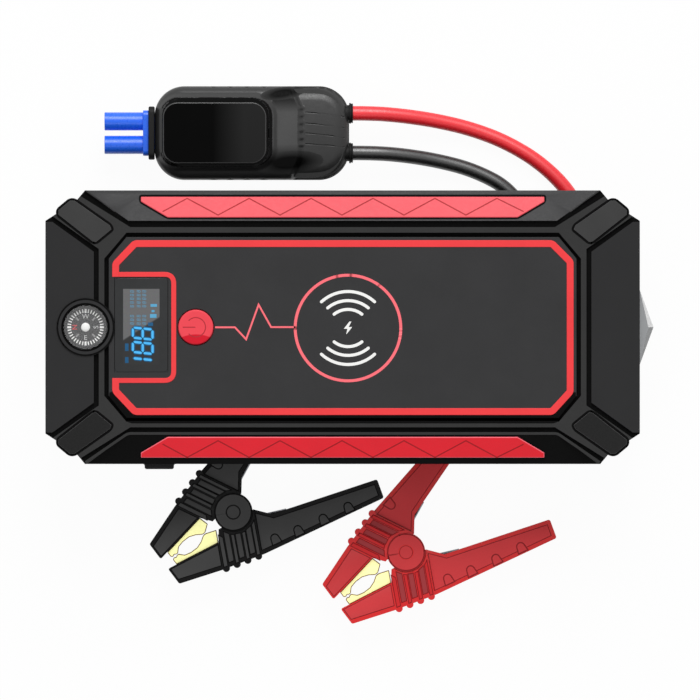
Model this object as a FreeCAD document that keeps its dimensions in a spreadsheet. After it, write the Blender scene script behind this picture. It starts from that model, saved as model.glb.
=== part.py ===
"""Jump starter pack with its smart jump lead, as a parametric document in millimetres.

The pack lies on its back, above two clamp handles. X runs along the pack, Y across it and Z up.
The origin is on the floor, under the middle of the whole set.
"""
import FreeCAD, Part
import Sketcher
import math
import os

SIZES = {
    # where the pack lies
    "pack_x": -2.53,
    "pack_y": 10.04,
    "pack_rest_gap": 0.3,
    # pack case
    "pack_length": 215.0,
    "pack_width": 99.0,
    "pack_height": 38.0,
    "seam_height": 19.0,
    "wall": 2.5,
    "side_wall": 3.5,
    "roof_wall": 2.5,
    "end_inset": 11.0,
    "side_notch": 4.5,
    "bar_notch": 3.5,
    "notch_slope": 2.9,
    "pad_inset_x": 8.9,
    "pad_inset_y": 7.2,
    "bar_inset": 14.3,
    "cavity_corner_x": 16.5,
    "cavity_corner_y": 15.5,
    "back_chamfer": 1.2,
    # front of the case
    "bar_depth": 11.0,
    "bar_drop": 4.0,
    "bar_face_inset": 30.0,
    "groove_depth": 1.2,
    "bar_groove": 2.3,
    "end_groove": 1.8,
    "end_panel_reach": 17.5,
    "end_panel_half": 27.3,
    "rim_width": 2.0,
    "recess_depth": 2.0,
    "recess_corner_x": 8.0,
    "recess_corner_y": 9.4,
    "panel_gap": 1.6,
    "panel_thickness": 1.6,
    # red inlays
    "inlay_half": 73.0,
    "inlay_inner_half": 63.3,
    "inlay_start": 1.2,
    "inlay_reach": 8.0,
    "inlay_tip": 1.9,
    "inlay_thickness": 1.2,
    "inlay_seat": 0.8,
    "seat_gap": 0.1,
    # corner pads
    "corner_pad_rise": 0.4,
    "corner_pad_seat": 1.5,
    "pad_leg": 1.6,
    "pad_leg_foot": 5.0,
    # display
    "display_x": -72.85,
    "display_y": 0.8,
    "window_width": 19.2,
    "window_height": 34.0,
    "window_rise": 0.1,
    "glass_ledge": 2.0,
    "lcd_drop": 0.1,
    "board_thickness": 1.6,
    "board_drop": 1.9,
    "display_board_width": 41.0,
    "display_board_height": 42.0,
    "display_board_x": -63.5,
    # power button
    "button_x": -53.1,
    "button_radius": 6.35,
    "button_gap": 0.35,
    "button_rise": 0.6,
    "button_flange": 0.8,
    "button_flange_lip": 0.9,
    "button_flange_gap": 0.2,
    "switch_gap": 0.9,
    # compass
    "compass_inset": 14.5,
    "boss_radius": 10.5,
    "boss_rise": 0.4,
    "cup_radius": 8.7,
    "cup_wall": 0.8,
    "cup_depth": 7.6,
    "cup_floor": 1.2,
    "dome_thickness": 1.6,
    "dome_ledge": 0.35,
    "card_radius": 7.4,
    "card_thickness": 0.8,
    "card_drop": 1.4,
    "pivot_radius": 0.5,
    "pivot_gap": 0.08,
    # flashlight
    "lens_width": 27.4,
    "lens_height": 26.0,
    "lens_seat": 1.2,
    "lens_reach": 5.1,
    "lens_tip": 0.8,
    "lens_tip_height": 8.0,
    "lens_ledge": 2.7,
    "reflector_depth": 8.5,
    "lamp_count": 3,
    "lamp_pitch": 7.6,
    "lamp_radius": 3.4,
    # ports
    "cover_x": -66.4,
    "cover_width": 46.0,
    "cover_low": 12.0,
    "cover_high": 26.0,
    "cover_thickness": 1.5,
    "cover_gap": 0.3,
    "cover_tab_width": 10.6,
    "cover_tab_reach": 1.9,
    "cover_tab_height": 1.8,
    "socket_x": -79.5,
    "socket_width": 17.2,
    "socket_height": 9.2,
    "socket_depth": 19.7,
    "pole_pitch": 8.5,
    "well_radius": 3.7,
    "well_depth": 14.0,
    "pin_radius": 2.5,
    "pin_recess": 1.5,
    "pin_length": 12.0,
    "pin_neck": 2.2,
    "pin_tail": 2.0,
    "port_gap": 0.3,
    "usb_a_x": -62.9,
    "usb_a_width": 13.2,
    "usb_a_height": 5.6,
    "usb_c_x": -50.0,
    "usb_c_width": 9.0,
    "usb_c_height": 3.3,
    "usb_depth": 12.0,
    "usb_wall": 0.4,
    "main_board_height": 12.8,
    "main_board_x": -65.2,
    "main_board_length": 48.5,
    "main_board_low": -45.5,
    "main_board_high": 25.0,
    # battery and charging coil
    "cell_x": 23.0,
    "cell_length": 110.0,
    "cell_width": 60.0,
    "cell_thickness": 6.0,
    "cell_count": 4,
    "foam_thickness": 1.0,
    "strap_thickness": 1.0,
    "strap_height": 6.0,
    "coil_x": 2.0,
    "coil_radius": 24.0,
    "coil_hole": 10.0,
    "coil_thickness": 1.2,
    "ferrite_side": 50.0,
    "ferrite_thickness": 0.8,
    # screws
    "boss_outer": 3.2,
    "screw_radius": 1.4,
    "screw_hole_gap": 0.2,
    "screw_bite_gap": 0.05,
    "screw_head": 2.8,
    "screw_head_height": 1.8,
    "screw_length": 24.0,
    "screw_sink": 0.5,
    "end_screw_x": 96.0,
    "end_screw_y": 31.0,
    "mid_screw_x": 35.0,
    "mid_screw_y": 41.0,
    # control box
    "box_x": -35.48,
    "box_y": 80.53,
    "box_length": 70.6,
    "box_width": 34.0,
    "box_height": 17.6,
    "box_seam": 9.8,
    "box_wall": 2.0,
    "box_corner": 10.9,
    "box_edge": 3.2,
    "box_boss_height": 1.6,
    "box_boss_x": -13.5,
    "box_boss_length": 42.6,
    "box_boss_width": 27.0,
    "box_step_length": 12.0,
    "box_step_width": 18.0,
    "box_step_height": 1.0,
    "box_rib_length": 14.5,
    "box_rib_pitch": 4.0,
    "box_rib_width": 0.6,
    "box_rib_height": 0.4,
    "cap_length": 37.6,
    "cap_width": 22.2,
    "cap_corner": 5.4,
    "cap_thickness": 0.8,
    "box_board_length": 50.0,
    "box_board_width": 26.0,
    "box_board_height": 4.0,
    "relay_length": 18.0,
    "relay_width": 15.0,
    "relay_height": 9.0,
    # plug
    "axis_height": 10.0,
    "barrel_radius": 3.3,
    "barrel_length": 14.0,
    "barrel_bore": 2.9,
    "contact_bore": 2.52,
    "contact_depth": 13.0,
    "contact_recess": 0.8,
    "contact_gap": 0.05,
    "plug_block_length": 2.0,
    "plug_block_width": 16.5,
    "plug_block_height": 9.2,
    "plug_tail_width": 12.0,
    "plug_tail_height": 6.6,
    "collar_thickness": 2.2,
    "collar_width": 19.3,
    "collar_height": 13.0,
    # leads
    "lead_diameter": 5.3,
    "lead_straight": 10.5,
    "bushing_pitch": 14.4,
    "bushing_radius": 3.8,
    "bushing_neck": 3.0,
    "bushing_nose": 1.4,
    "bushing_hold": 4.0,
    # clamps
    "black_x": -42.25,
    "black_y": -57.06,
    "red_x": 20.47,
    "red_y": -71.63,
    "clamp_turn": 37.0,
    "disc_radius": 7.0,
    "disc_thickness": 13.0,
    "jaw_thickness": 12.0,
    "handle_thickness": 9.2,
    "ear_gap": 0.3,
    "outer_ear": 1.6,
    "inner_ear": 1.6,
    "handle_end_u": 48.9,
    "handle_end_v": 21.9,
    "handle_end_width": 7.2,
    "handle_turn": 17.0,
    "knee_u": 10.7,
    "knee_v": 9.0,
    "shoulder_u": 7.5,
    "shoulder_v": 20.6,
    "rib_start_v": 19.0,
    "rib_end_u": -15.8,
    "rib_end_v": 14.4,
    "jaw_tip_u": -31.3,
    "jaw_tip_outer": 9.0,
    "jaw_tip_inner": 2.2,
    "jaw_root_u": -11.0,
    "jaw_root_v": 5.7,
    "neck_u": 6.4,
    "neck_v": 3.6,
    "throat_u": -8.0,
    "throat_v": 1.8,
    "bump_radius": 1.3,
    "bump_count": 4,
    "bump_first": 7.1,
    "bump_lower_shift": 0.9,
    "rib_lean": 26.7,
    "rib_pitch": 4.1,
    "rib_slot": 2.3,
    "rib_slot_depth": 0.6,
    "rib_slot_shift": 2.75,
    "rib_slot_edge": 1.5,
    "rib_disc_gap": 0.7,
    "head_end_u": -1.15,
    "head_end_v": 18.55,
    "brass_width": 8.0,
    "brass_gap": 0.15,
    "brass_reach": 3.4,
    "eye_half": 5.6,
    "eye_height": 2.2,
    "eye_u": -19.4,
    "heel_u": 3.8,
    "heel_v": 2.0,
    "long_heel_u": 4.95,
    "long_heel_v": 1.3,
    "rivet_radius": 1.9,
    "rivet_gap": 0.05,
    "rivet_head": 2.45,
    "rivet_head_height": 0.5,
    "spring_mean_radius": 3.6,
    "spring_wire": 1.2,
    "spring_turns": 2,
    "spring_pitch": 1.8,
    "spring_leg": 19.0,
    "spring_leg_turn": 24.0,
    "spring_leg_gap": 0.3,
}

doc = FreeCAD.newDocument("JumpStarterPack")
sheet = doc.addObject("Spreadsheet::Sheet", "Sizes")
for row, (alias, number) in enumerate(SIZES.items(), start=1):
    sheet.set("A%d" % row, alias)
    sheet.set("B%d" % row, str(number))
    sheet.setAlias("B%d" % row, alias)
doc.recompute()


class Size(float):
    """A number that remembers the sheet formula that it comes from."""

    def __new__(cls, number, formula):
        size = float.__new__(cls, number)
        size.formula = formula
        return size

    def __add__(self, other):
        return Size(float(self) + float(other), "(%s + %s)" % (self.formula, formula(other)))

    def __radd__(self, other):
        return Size(float(other) + float(self), "(%s + %s)" % (formula(other), self.formula))

    def __sub__(self, other):
        return Size(float(self) - float(other), "(%s - %s)" % (self.formula, formula(other)))

    def __rsub__(self, other):
        return Size(float(other) - float(self), "(%s - %s)" % (formula(other), self.formula))

    def __mul__(self, other):
        return Size(float(self) * float(other), "(%s * %s)" % (self.formula, formula(other)))

    def __rmul__(self, other):
        return Size(float(other) * float(self), "(%s * %s)" % (formula(other), self.formula))

    def __truediv__(self, other):
        return Size(float(self) / float(other), "(%s / %s)" % (self.formula, formula(other)))

    def __neg__(self):
        return Size(-float(self), "(-1 * %s)" % self.formula)


class Book:
    """Gives each size of the sheet by its name."""

    def __getattr__(self, alias):
        return Size(SIZES[alias], "Sizes." + alias)


def formula(value):
    return value.formula if isinstance(value, Size) else repr(float(value))


def bind(thing, prop, value):
    """Set a property, and tie it to the sheet where the value comes from there."""
    if isinstance(value, Size):
        thing.setExpression(prop, value.formula)
    else:
        setattr(thing, prop, value)


s = Book()
nodes = []


def place_in_pack(thing):
    """The pack stands level, lifted over the clamp handles."""
    thing.setExpression("Placement.Base.x", "Sizes.pack_x")
    thing.setExpression("Placement.Base.y", "Sizes.pack_y")
    handle_top = (s.disc_thickness + s.handle_thickness) / 2
    thing.setExpression("Placement.Base.z", (handle_top + s.pack_rest_gap).formula)


def place_in_box(thing):
    """The control box lies on the floor."""
    thing.setExpression("Placement.Base.x", "Sizes.box_x")
    thing.setExpression("Placement.Base.y", "Sizes.box_y")


def place_in_clamp(thing, colour):
    """A clamp lies flat on the floor, turned to its own axis about its rivet."""
    thing.Placement = clamp_placement(colour)
    thing.setExpression("Placement.Base.x", "Sizes.%s_x" % colour)
    thing.setExpression("Placement.Base.y", "Sizes.%s_y" % colour)
    thing.setExpression("Placement.Base.z", "Sizes.disc_thickness / 2")


def clamp_placement(colour):
    turn = FreeCAD.Rotation(FreeCAD.Vector(0, 0, 1), s.clamp_turn)
    return FreeCAD.Placement(FreeCAD.Vector(SIZES[colour + "_x"], SIZES[colour + "_y"], s.disc_thickness / 2), turn)


def keep(thing, label):
    """Name a finished sub-part; the label is the name of its file."""
    thing.Label = label
    nodes.append(thing)
    return thing


def new_body(name):
    return doc.addObject("PartDesign::Body", name)


def new_sketch(body, name, plane="XY_Plane", offset=0.0):
    """A sketch on one of the body's own origin planes, moved along its normal."""
    sketch = body.newObject("Sketcher::SketchObject", name)
    support = [item for item in body.Origin.OriginFeatures if item.Role == plane][0]
    sketch.AttachmentSupport = [(support, "")]
    sketch.MapMode = "FlatFace"
    if isinstance(offset, Size):
        sketch.setExpression("AttachmentOffset.Base.z", offset.formula)
    else:
        sketch.AttachmentOffset = FreeCAD.Placement(FreeCAD.Vector(0, 0, offset), FreeCAD.Rotation())
    return sketch


def pin_point(sketch, geometry, point, x, y):
    """Hold a sketch point at x and y from the origin."""
    for kind, value in (("DistanceX", x), ("DistanceY", y)):
        index = sketch.addConstraint(Sketcher.Constraint(kind, -1, 1, geometry, point, float(value)))
        if isinstance(value, Size):
            sketch.setExpression("Constraints[%d]" % index, value.formula)


def hold_radius(sketch, geometry, radius):
    index = sketch.addConstraint(Sketcher.Constraint("Radius", geometry, float(radius)))
    if isinstance(radius, Size):
        sketch.setExpression("Constraints[%d]" % index, radius.formula)


def add_circle(sketch, x, y, radius):
    centre = FreeCAD.Vector(float(x), float(y), 0)
    index = sketch.addGeometry(Part.Circle(centre, FreeCAD.Vector(0, 0, 1), float(radius)), False)
    hold_radius(sketch, index, radius)
    pin_point(sketch, index, 3, x, y)


def add_outline(sketch, corners):
    """A closed outline through its corners; a third value rounds that corner."""
    points = [FreeCAD.Vector(float(c[0]), float(c[1]), 0) for c in corners]
    radii = [c[2] if len(c) > 2 else None for c in corners]
    count = len(points)
    starts, stops, centres = [], [], []
    for i, point in enumerate(points):
        back = (points[i - 1] - point).normalize()
        ahead = (points[(i + 1) % count] - point).normalize()
        reach = 0.0
        centre = None
        if radii[i] is not None:
            half = back.getAngle(ahead) / 2
            reach = float(radii[i]) / math.tan(half)
            middle = (back + ahead).normalize()
            centre = point + middle * (float(radii[i]) / math.sin(half))
        stops.append(point + back * reach)
        starts.append(point + ahead * reach)
        centres.append(centre)
    sides = []
    for i in range(count):
        line = Part.LineSegment(starts[i], stops[(i + 1) % count])
        sides.append(sketch.addGeometry(line, False))
    for i in range(count):
        before = sides[i - 1]
        after = sides[i]
        if centres[i] is None:
            sketch.addConstraint(Sketcher.Constraint("Coincident", before, 2, after, 1))
            pin_point(sketch, after, 1, corners[i][0], corners[i][1])
            continue
        first = stops[i] - centres[i]
        last = starts[i] - centres[i]
        left_turn = first.cross(last).z > 0
        if not left_turn:
            first, last = last, first
        low = math.atan2(first.y, first.x)
        high = math.atan2(last.y, last.x)
        if high < low:
            high += 2 * math.pi
        circle = Part.Circle(centres[i], FreeCAD.Vector(0, 0, 1), float(radii[i]))
        arc = sketch.addGeometry(Part.ArcOfCircle(circle, low, high), False)
        corner = sketch.addGeometry(Part.Point(points[i]), True)
        joins = (1, 2) if left_turn else (2, 1)
        sketch.addConstraint(Sketcher.Constraint("Tangent", before, 2, arc, joins[0]))
        sketch.addConstraint(Sketcher.Constraint("Tangent", arc, joins[1], after, 1))
        sketch.addConstraint(Sketcher.Constraint("PointOnObject", corner, 1, before))
        sketch.addConstraint(Sketcher.Constraint("PointOnObject", corner, 1, after))
        hold_radius(sketch, arc, radii[i])
        pin_point(sketch, corner, 1, corners[i][0], corners[i][1])


def pad(body, sketch, length, both_ways=False, backwards=False):
    feature = body.newObject("PartDesign::Pad", sketch.Name + "_pad")
    feature.Profile = sketch
    feature.Midplane = both_ways
    feature.Reversed = backwards
    bind(feature, "Length", length)
    return feature


def pocket(body, sketch, length, both_ways=False, backwards=False):
    """Cut into the solid, and stop if nothing was cut."""
    doc.recompute()
    before = body.Shape.Volume
    feature = body.newObject("PartDesign::Pocket", sketch.Name + "_pocket")
    feature.Profile = sketch
    feature.Midplane = both_ways
    feature.Reversed = backwards
    bind(feature, "Length", length)
    doc.recompute()
    if not body.Shape.Volume < before - 1e-6:
        raise RuntimeError("pocket %s of %s cuts nothing" % (sketch.Name, body.Name))
    return feature


def edges_where(shape, test):
    """Names of the edges whose two ends and middle all pass the test."""
    names = []
    for index, edge in enumerate(shape.Edges, start=1):
        middle = edge.valueAt((edge.FirstParameter + edge.LastParameter) / 2)
        ends = [vertex.Point for vertex in edge.Vertexes]
        if all(test(point) for point in ends + [middle]):
            names.append("Edge%d" % index)
    return names


def soften(body, kind, radius, test):
    """Fillet or chamfer the edges that pass the test."""
    doc.recompute()
    base = body.Tip
    names = edges_where(base.Shape, test)
    feature = body.newObject("PartDesign::" + kind, "%s_%s" % (body.Name, kind.lower()))
    feature.Base = (base, names)
    bind(feature, "Radius" if kind == "Fillet" else "Size", radius)
    doc.recompute()
    return feature


def near(value, target):
    return abs(value - float(target)) < 0.01


def rectangle(x, y, width, height, radius=None):
    """Corners of a rectangle about a centre."""
    corners = [
        (x - width / 2, y - height / 2),
        (x + width / 2, y - height / 2),
        (x + width / 2, y + height / 2),
        (x - width / 2, y + height / 2),
    ]
    return [corner + (radius,) for corner in corners] if radius is not None else corners


def four_ways(quarter):
    """A quarter outline, from the X side to the Y side, repeated into all four quarters."""
    corners = list(quarter)
    corners += [(-x, y) for x, y in reversed(quarter)]
    corners += [(-x, -y) for x, y in quarter]
    corners += [(x, -y) for x, y in reversed(quarter)]
    return corners


def each_corner(points):
    """The same small outline in all four corners."""
    return [[(x * sx, y * sy) for x, y in points] for sx in (1, -1) for sy in (1, -1)]


def block(label, low, high, place=place_in_pack):
    """A plain box between two corners given in the assembly's own frame."""
    body = new_body(label)
    sketch = new_sketch(body, label + "_base", offset=low[2])
    corners = [(low[0], low[1]), (high[0], low[1]), (high[0], high[1]), (low[0], high[1])]
    add_outline(sketch, corners)
    pad(body, sketch, high[2] - low[2])
    place(body)
    return keep(body, label)


# Heights and sides that many pieces of the pack share.
half_length = s.pack_length / 2
half_width = s.pack_width / 2
floor_top = s.wall
recess_floor = s.pack_height - s.recess_depth
roof = recess_floor - s.roof_wall
panel_top = recess_floor + s.panel_thickness
display_board_top = roof - s.board_drop
inner_width = half_width - s.side_wall
main_board_top = s.main_board_height + s.board_thickness
recess_half_x = half_length - s.end_panel_reach - s.end_groove - s.rim_width
recess_half_y = half_width - s.bar_depth - s.bar_groove - s.rim_width
compass_x = -(half_length - s.compass_inset)
screw_places = [(x, y) for x, y in ((s.end_screw_x, s.end_screw_y), (s.mid_screw_x, s.mid_screw_y))]
screw_places = [(x * sx, y * sy) for x, y in screw_places for sx in (1, -1) for sy in (1, -1)]
case_quarter = [
    (half_length, half_width - s.end_inset),
    (half_length - s.side_notch, half_width - s.end_inset + s.notch_slope),
    (half_length - s.side_notch, half_width - s.pad_inset_y),
    (half_length - s.pad_inset_x, half_width - s.bar_notch),
    (half_length - s.bar_inset + s.notch_slope, half_width - s.bar_notch),
    (half_length - s.bar_inset, half_width),
]
cavity_quarter = [
    (half_length - s.wall, inner_width - s.cavity_corner_y),
    (half_length - s.cavity_corner_x, inner_width),
]
pad_leg_outline = [
    (half_length - s.side_notch, half_width - s.pad_inset_y),
    (half_length - s.pad_inset_x, half_width - s.bar_notch),
    (half_length - s.pad_inset_x - s.pad_leg, half_width - s.bar_notch),
    (half_length - s.side_notch, half_width - s.pad_inset_y - s.pad_leg),
]
arm_reach = s.end_panel_reach + s.end_groove + s.rim_width
pad_plate_outline = [
    (half_length - s.side_notch - 0.2, half_width - s.pad_inset_y - s.pad_leg),
    (half_length - s.side_notch - 0.2, half_width - s.pad_inset_y),
    (half_length - s.pad_inset_x, half_width - s.bar_notch - 0.2),
    (half_length - s.pad_inset_x - s.pad_leg, half_width - s.bar_notch - 0.2),
    (half_length - arm_reach - 2.0, recess_half_y + s.rim_width + 0.6),
    (half_length - arm_reach - 2.6, recess_half_y + s.rim_width - 0.8),
    (half_length - arm_reach + 3.0, recess_half_y - 3.4),
    (half_length - arm_reach + 4.2, recess_half_y - 3.2),
]


def wider(outline, gap):
    """An outline pushed out by a gap from its own middle, for a seat."""
    cx = sum(float(p[0]) for p in outline) / len(outline)
    cy = sum(float(p[1]) for p in outline) / len(outline)
    return [(x + math.copysign(float(gap), x - cx), y + math.copysign(float(gap), y - cy)) for x, y in outline]


def cut_pad_legs(body, name, offset, length, backwards):
    sketch = new_sketch(body, name, offset=offset)
    for outline in each_corner(pad_leg_outline):
        add_outline(sketch, outline)
    pocket(body, sketch, length, backwards=backwards)


def cut_ports(body, name):
    """The cover's recess and the three port holes, through the lower long wall."""
    recess = new_sketch(body, name + "_recess", "XZ_Plane", half_width - s.cover_thickness - s.cover_gap)
    low = s.cover_low - s.cover_thickness / 2 - s.cover_gap
    high = s.cover_high + s.cover_gap
    middle = (low + high) / 2
    add_outline(recess, rectangle(s.cover_x, middle, s.cover_width + s.cover_gap * 2, high - low))
    pocket(body, recess, s.cover_thickness + s.cover_gap + 1.0, backwards=True)
    holes = new_sketch(body, name + "_holes", "XZ_Plane", half_width)
    socket_hole = (s.socket_width + s.port_gap * 2, s.socket_height + s.port_gap * 2)
    usb_a_hole = (s.usb_a_width + s.port_gap * 2, s.usb_a_height + s.port_gap * 2)
    add_outline(holes, rectangle(s.socket_x, s.seam_height, *socket_hole))
    add_outline(holes, rectangle(s.usb_a_x, main_board_top + s.usb_a_height / 2, *usb_a_hole))
    if body.Name == "back_shell":
        usb_c_hole = (s.usb_c_width + s.port_gap * 2, s.usb_c_height + s.port_gap * 2)
        add_outline(holes, rectangle(s.usb_c_x, main_board_top + s.usb_c_height / 2, *usb_c_hole))
    pocket(body, holes, s.side_wall + 2.0)


def cut_lamp_window(body, name):
    """The lens seat and the window behind it, through the right end wall."""
    seat = new_sketch(body, name + "_seat", "YZ_Plane", half_length - s.lens_seat)
    gap = s.seat_gap * 2
    add_outline(seat, rectangle(0, s.seam_height, s.lens_width + gap, s.lens_height + gap))
    pocket(body, seat, s.lens_seat + 1.0, backwards=True)
    window = new_sketch(body, name + "_window", "YZ_Plane", half_length)
    width = s.lens_width - s.lens_ledge * 2
    height = s.lens_height - s.lens_ledge * 2
    add_outline(window, rectangle(0, s.seam_height, width, height))
    pocket(body, window, s.wall + 1.0)


def bar_face_sketch(body, name, side, outline):
    """A sketch on the sloping face of a long bar; side is 1 at the top and -1 at the bottom."""
    sketch = body.newObject("Sketcher::SketchObject", name)
    support = [item for item in body.Origin.OriginFeatures if item.Role == "XY_Plane"][0]
    sketch.AttachmentSupport = [(support, "")]
    sketch.MapMode = "FlatFace"
    slope = math.degrees(math.atan2(s.bar_drop, s.bar_depth))
    corner = FreeCAD.Vector(0, side * float(half_width - s.bar_depth), float(s.pack_height))
    turn = FreeCAD.Rotation(FreeCAD.Vector(1, 0, 0), -side * slope)
    sketch.AttachmentOffset = FreeCAD.Placement(corner, turn)
    sketch.setExpression("AttachmentOffset.Base.y", "%d * %s" % (side, (half_width - s.bar_depth).formula))
    sketch.setExpression("AttachmentOffset.Base.z", "Sizes.pack_height")
    add_outline(sketch, [(x, y * side) for x, y in outline])
    return sketch


bar_face_inner = half_length - s.bar_face_inset
bar_slope_length = math.hypot(s.bar_depth, s.bar_drop)
diagonal_run = 1.45
bar_face_outline = [
    (-bar_face_inner, -0.001),
    (bar_face_inner, -0.001),
    (bar_face_inner + (s.bar_depth + 2.0) * diagonal_run, s.bar_depth + 2.0),
    (-bar_face_inner - (s.bar_depth + 2.0) * diagonal_run, s.bar_depth + 2.0),
]
inlay_outline = [
    (-s.inlay_inner_half, s.inlay_start),
    (s.inlay_inner_half, s.inlay_start),
    (s.inlay_half, s.inlay_start + s.inlay_reach - s.inlay_tip),
    (s.inlay_half, s.inlay_start + s.inlay_reach),
    (-s.inlay_half, s.inlay_start + s.inlay_reach),
    (-s.inlay_half, s.inlay_start + s.inlay_reach - s.inlay_tip),
]


def make_front_shell():
    body = new_body("front_shell")
    base = new_sketch(body, "front_outline", offset=s.seam_height)
    add_outline(base, four_ways(case_quarter))
    pad(body, base, s.pack_height - s.seam_height)
    for side in (1, -1):
        face = bar_face_sketch(body, "bar_face", side, bar_face_outline)
        pocket(body, face, s.bar_drop * 3, backwards=True)
    # grooves beside the long bars, running out to the corner notches
    far = s.bar_depth + 2.0
    edge_y = half_width - s.bar_depth
    groove_x = bar_face_inner - 0.7
    bars = new_sketch(body, "bar_grooves", offset=s.pack_height)
    for side in (1, -1):
        strip = [
            (-groove_x, edge_y - s.bar_groove),
            (groove_x, edge_y - s.bar_groove),
            (groove_x + (far + s.bar_groove) * diagonal_run + 2.4, edge_y + far),
            (bar_face_inner + far * diagonal_run, edge_y + far),
            (bar_face_inner, edge_y),
            (-bar_face_inner, edge_y),
            (-bar_face_inner - far * diagonal_run, edge_y + far),
            (-groove_x - (far + s.bar_groove) * diagonal_run - 2.4, edge_y + far),
        ]
        add_outline(bars, [(x, y * side) for x, y in strip])
    pocket(body, bars, s.groove_depth)
    # grooves beside the end panels
    ends = new_sketch(body, "end_grooves", offset=s.pack_height)
    inner_x = half_length - s.end_panel_reach
    for side in (1, -1):
        strip = [
            (inner_x - s.end_groove, -s.end_panel_half - 1.0),
            (inner_x - s.end_groove, s.end_panel_half + 1.0),
            (half_length - 1.5, half_width - s.end_inset + 2.4),
            (half_length + 1.0, half_width - s.end_inset + 2.4),
            (half_length + 1.0, half_width - s.end_inset - 0.4),
            (half_length - 2.5, half_width - s.end_inset - 0.4),
            (inner_x, s.end_panel_half),
            (inner_x, -s.end_panel_half),
            (half_length - 2.5, -half_width + s.end_inset + 0.4),
            (half_length + 1.0, -half_width + s.end_inset + 0.4),
            (half_length + 1.0, -half_width + s.end_inset - 2.4),
            (half_length - 1.5, -half_width + s.end_inset - 2.4),
        ]
        add_outline(ends, [(x * side, y) for x, y in strip])
    pocket(body, ends, s.groove_depth)
    recess = new_sketch(body, "panel_recess", offset=s.pack_height)
    quarter = [
        (recess_half_x, recess_half_y - s.recess_corner_y),
        (recess_half_x - s.recess_corner_x, recess_half_y),
    ]
    add_outline(recess, four_ways(quarter))
    pocket(body, recess, s.recess_depth)
    boss = new_sketch(body, "compass_boss", offset=roof)
    add_circle(boss, compass_x, 0, s.boss_radius)
    pad(body, boss, s.pack_height + s.boss_rise - roof)
    cavity = new_sketch(body, "front_cavity", offset=s.seam_height)
    add_outline(cavity, four_ways(cavity_quarter))
    pocket(body, cavity, roof - s.seam_height, backwards=True)
    posts = new_sketch(body, "front_posts", offset=s.seam_height)
    for x, y in screw_places:
        add_circle(posts, x, y, s.boss_outer)
    pad(body, posts, roof - s.seam_height + 0.5)
    board_posts = new_sketch(body, "board_posts", offset=display_board_top)
    for sx in (1, -1):
        for sy in (1, -1):
            x = s.display_board_x + (s.display_board_width / 2 - 2.2) * sx
            add_circle(board_posts, x, (s.display_board_height / 2 - 2.2) * sy, 1.8)
    pad(body, board_posts, s.board_drop + 0.5)
    bites = new_sketch(body, "screw_bites", offset=s.seam_height)
    for x, y in screw_places:
        add_circle(bites, x, y, s.screw_radius + s.screw_bite_gap)
    bite_depth = s.screw_sink + s.screw_head_height + s.screw_length - s.seam_height + 0.4
    pocket(body, bites, bite_depth, backwards=True)
    bore = new_sketch(body, "compass_bore", offset=s.pack_height + s.boss_rise)
    add_circle(bore, compass_x, 0, s.cup_radius + s.seat_gap)
    pocket(body, bore, s.pack_height + s.boss_rise - roof + 1.0)
    openings = new_sketch(body, "front_openings", offset=recess_floor)
    add_circle(openings, s.button_x, 0, s.button_radius + s.button_gap)
    glass = (s.window_width - s.glass_ledge * 2, s.window_height - s.glass_ledge * 2)
    add_outline(openings, rectangle(s.display_x, s.display_y, *glass))
    pocket(body, openings, s.roof_wall + 1.0)
    stop = new_sketch(body, "button_stop", offset=roof - 1.0)
    add_circle(stop, s.button_x, 0, s.button_radius + s.button_flange_lip + s.button_gap)
    pocket(body, stop, s.roof_wall + 1.0 - 0.9, backwards=True)
    seats = new_sketch(body, "pad_seats", offset=s.pack_height)
    for outline in each_corner(wider(pad_plate_outline, s.seat_gap)):
        add_outline(seats, outline)
    pocket(body, seats, s.corner_pad_seat)
    cut_pad_legs(body, "front_legs", s.pack_height, s.pack_height - s.seam_height + 0.001, False)
    for side in (1, -1):
        seat = bar_face_sketch(body, "inlay_seat", side, wider(inlay_outline, s.seat_gap))
        pocket(body, seat, s.inlay_seat)
    cut_ports(body, "front_ports")
    cut_lamp_window(body, "front_lamp")
    place_in_pack(body)
    return keep(body, "front_shell")


def make_back_shell():
    body = new_body("back_shell")
    base = new_sketch(body, "back_outline")
    add_outline(base, four_ways(case_quarter))
    pad(body, base, s.seam_height)
    soften(body, "Chamfer", s.back_chamfer, lambda p: near(p.z, 0))
    cavity = new_sketch(body, "back_cavity", offset=s.seam_height)
    add_outline(cavity, four_ways(cavity_quarter))
    pocket(body, cavity, s.seam_height - floor_top)
    posts = new_sketch(body, "back_posts", offset=floor_top - 0.5)
    for x, y in screw_places:
        add_circle(posts, x, y, s.boss_outer)
    pad(body, posts, s.seam_height - floor_top + 0.5)
    board_posts = new_sketch(body, "main_board_posts", offset=floor_top - 0.5)
    for sx in (1, -1):
        for y in (s.main_board_low + 4.5, s.main_board_high - 4.0):
            add_circle(board_posts, s.main_board_x + (s.main_board_length / 2 - 4.0) * sx, y, 2.5)
    pad(body, board_posts, s.main_board_height - floor_top + 0.5)
    holes = new_sketch(body, "screw_holes")
    for x, y in screw_places:
        add_circle(holes, x, y, s.screw_radius + s.screw_hole_gap)
    pocket(body, holes, s.seam_height, backwards=True)
    sinks = new_sketch(body, "screw_sinks")
    for x, y in screw_places:
        add_circle(sinks, x, y, s.screw_head + s.screw_hole_gap)
    pocket(body, sinks, s.screw_sink + s.screw_head_height, backwards=True)
    leg_depth = s.seam_height - s.pad_leg_foot
    cut_pad_legs(body, "back_legs", s.seam_height, leg_depth, False)
    cut_ports(body, "back_ports")
    cut_lamp_window(body, "back_lamp")
    place_in_pack(body)
    return keep(body, "back_shell")


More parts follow.
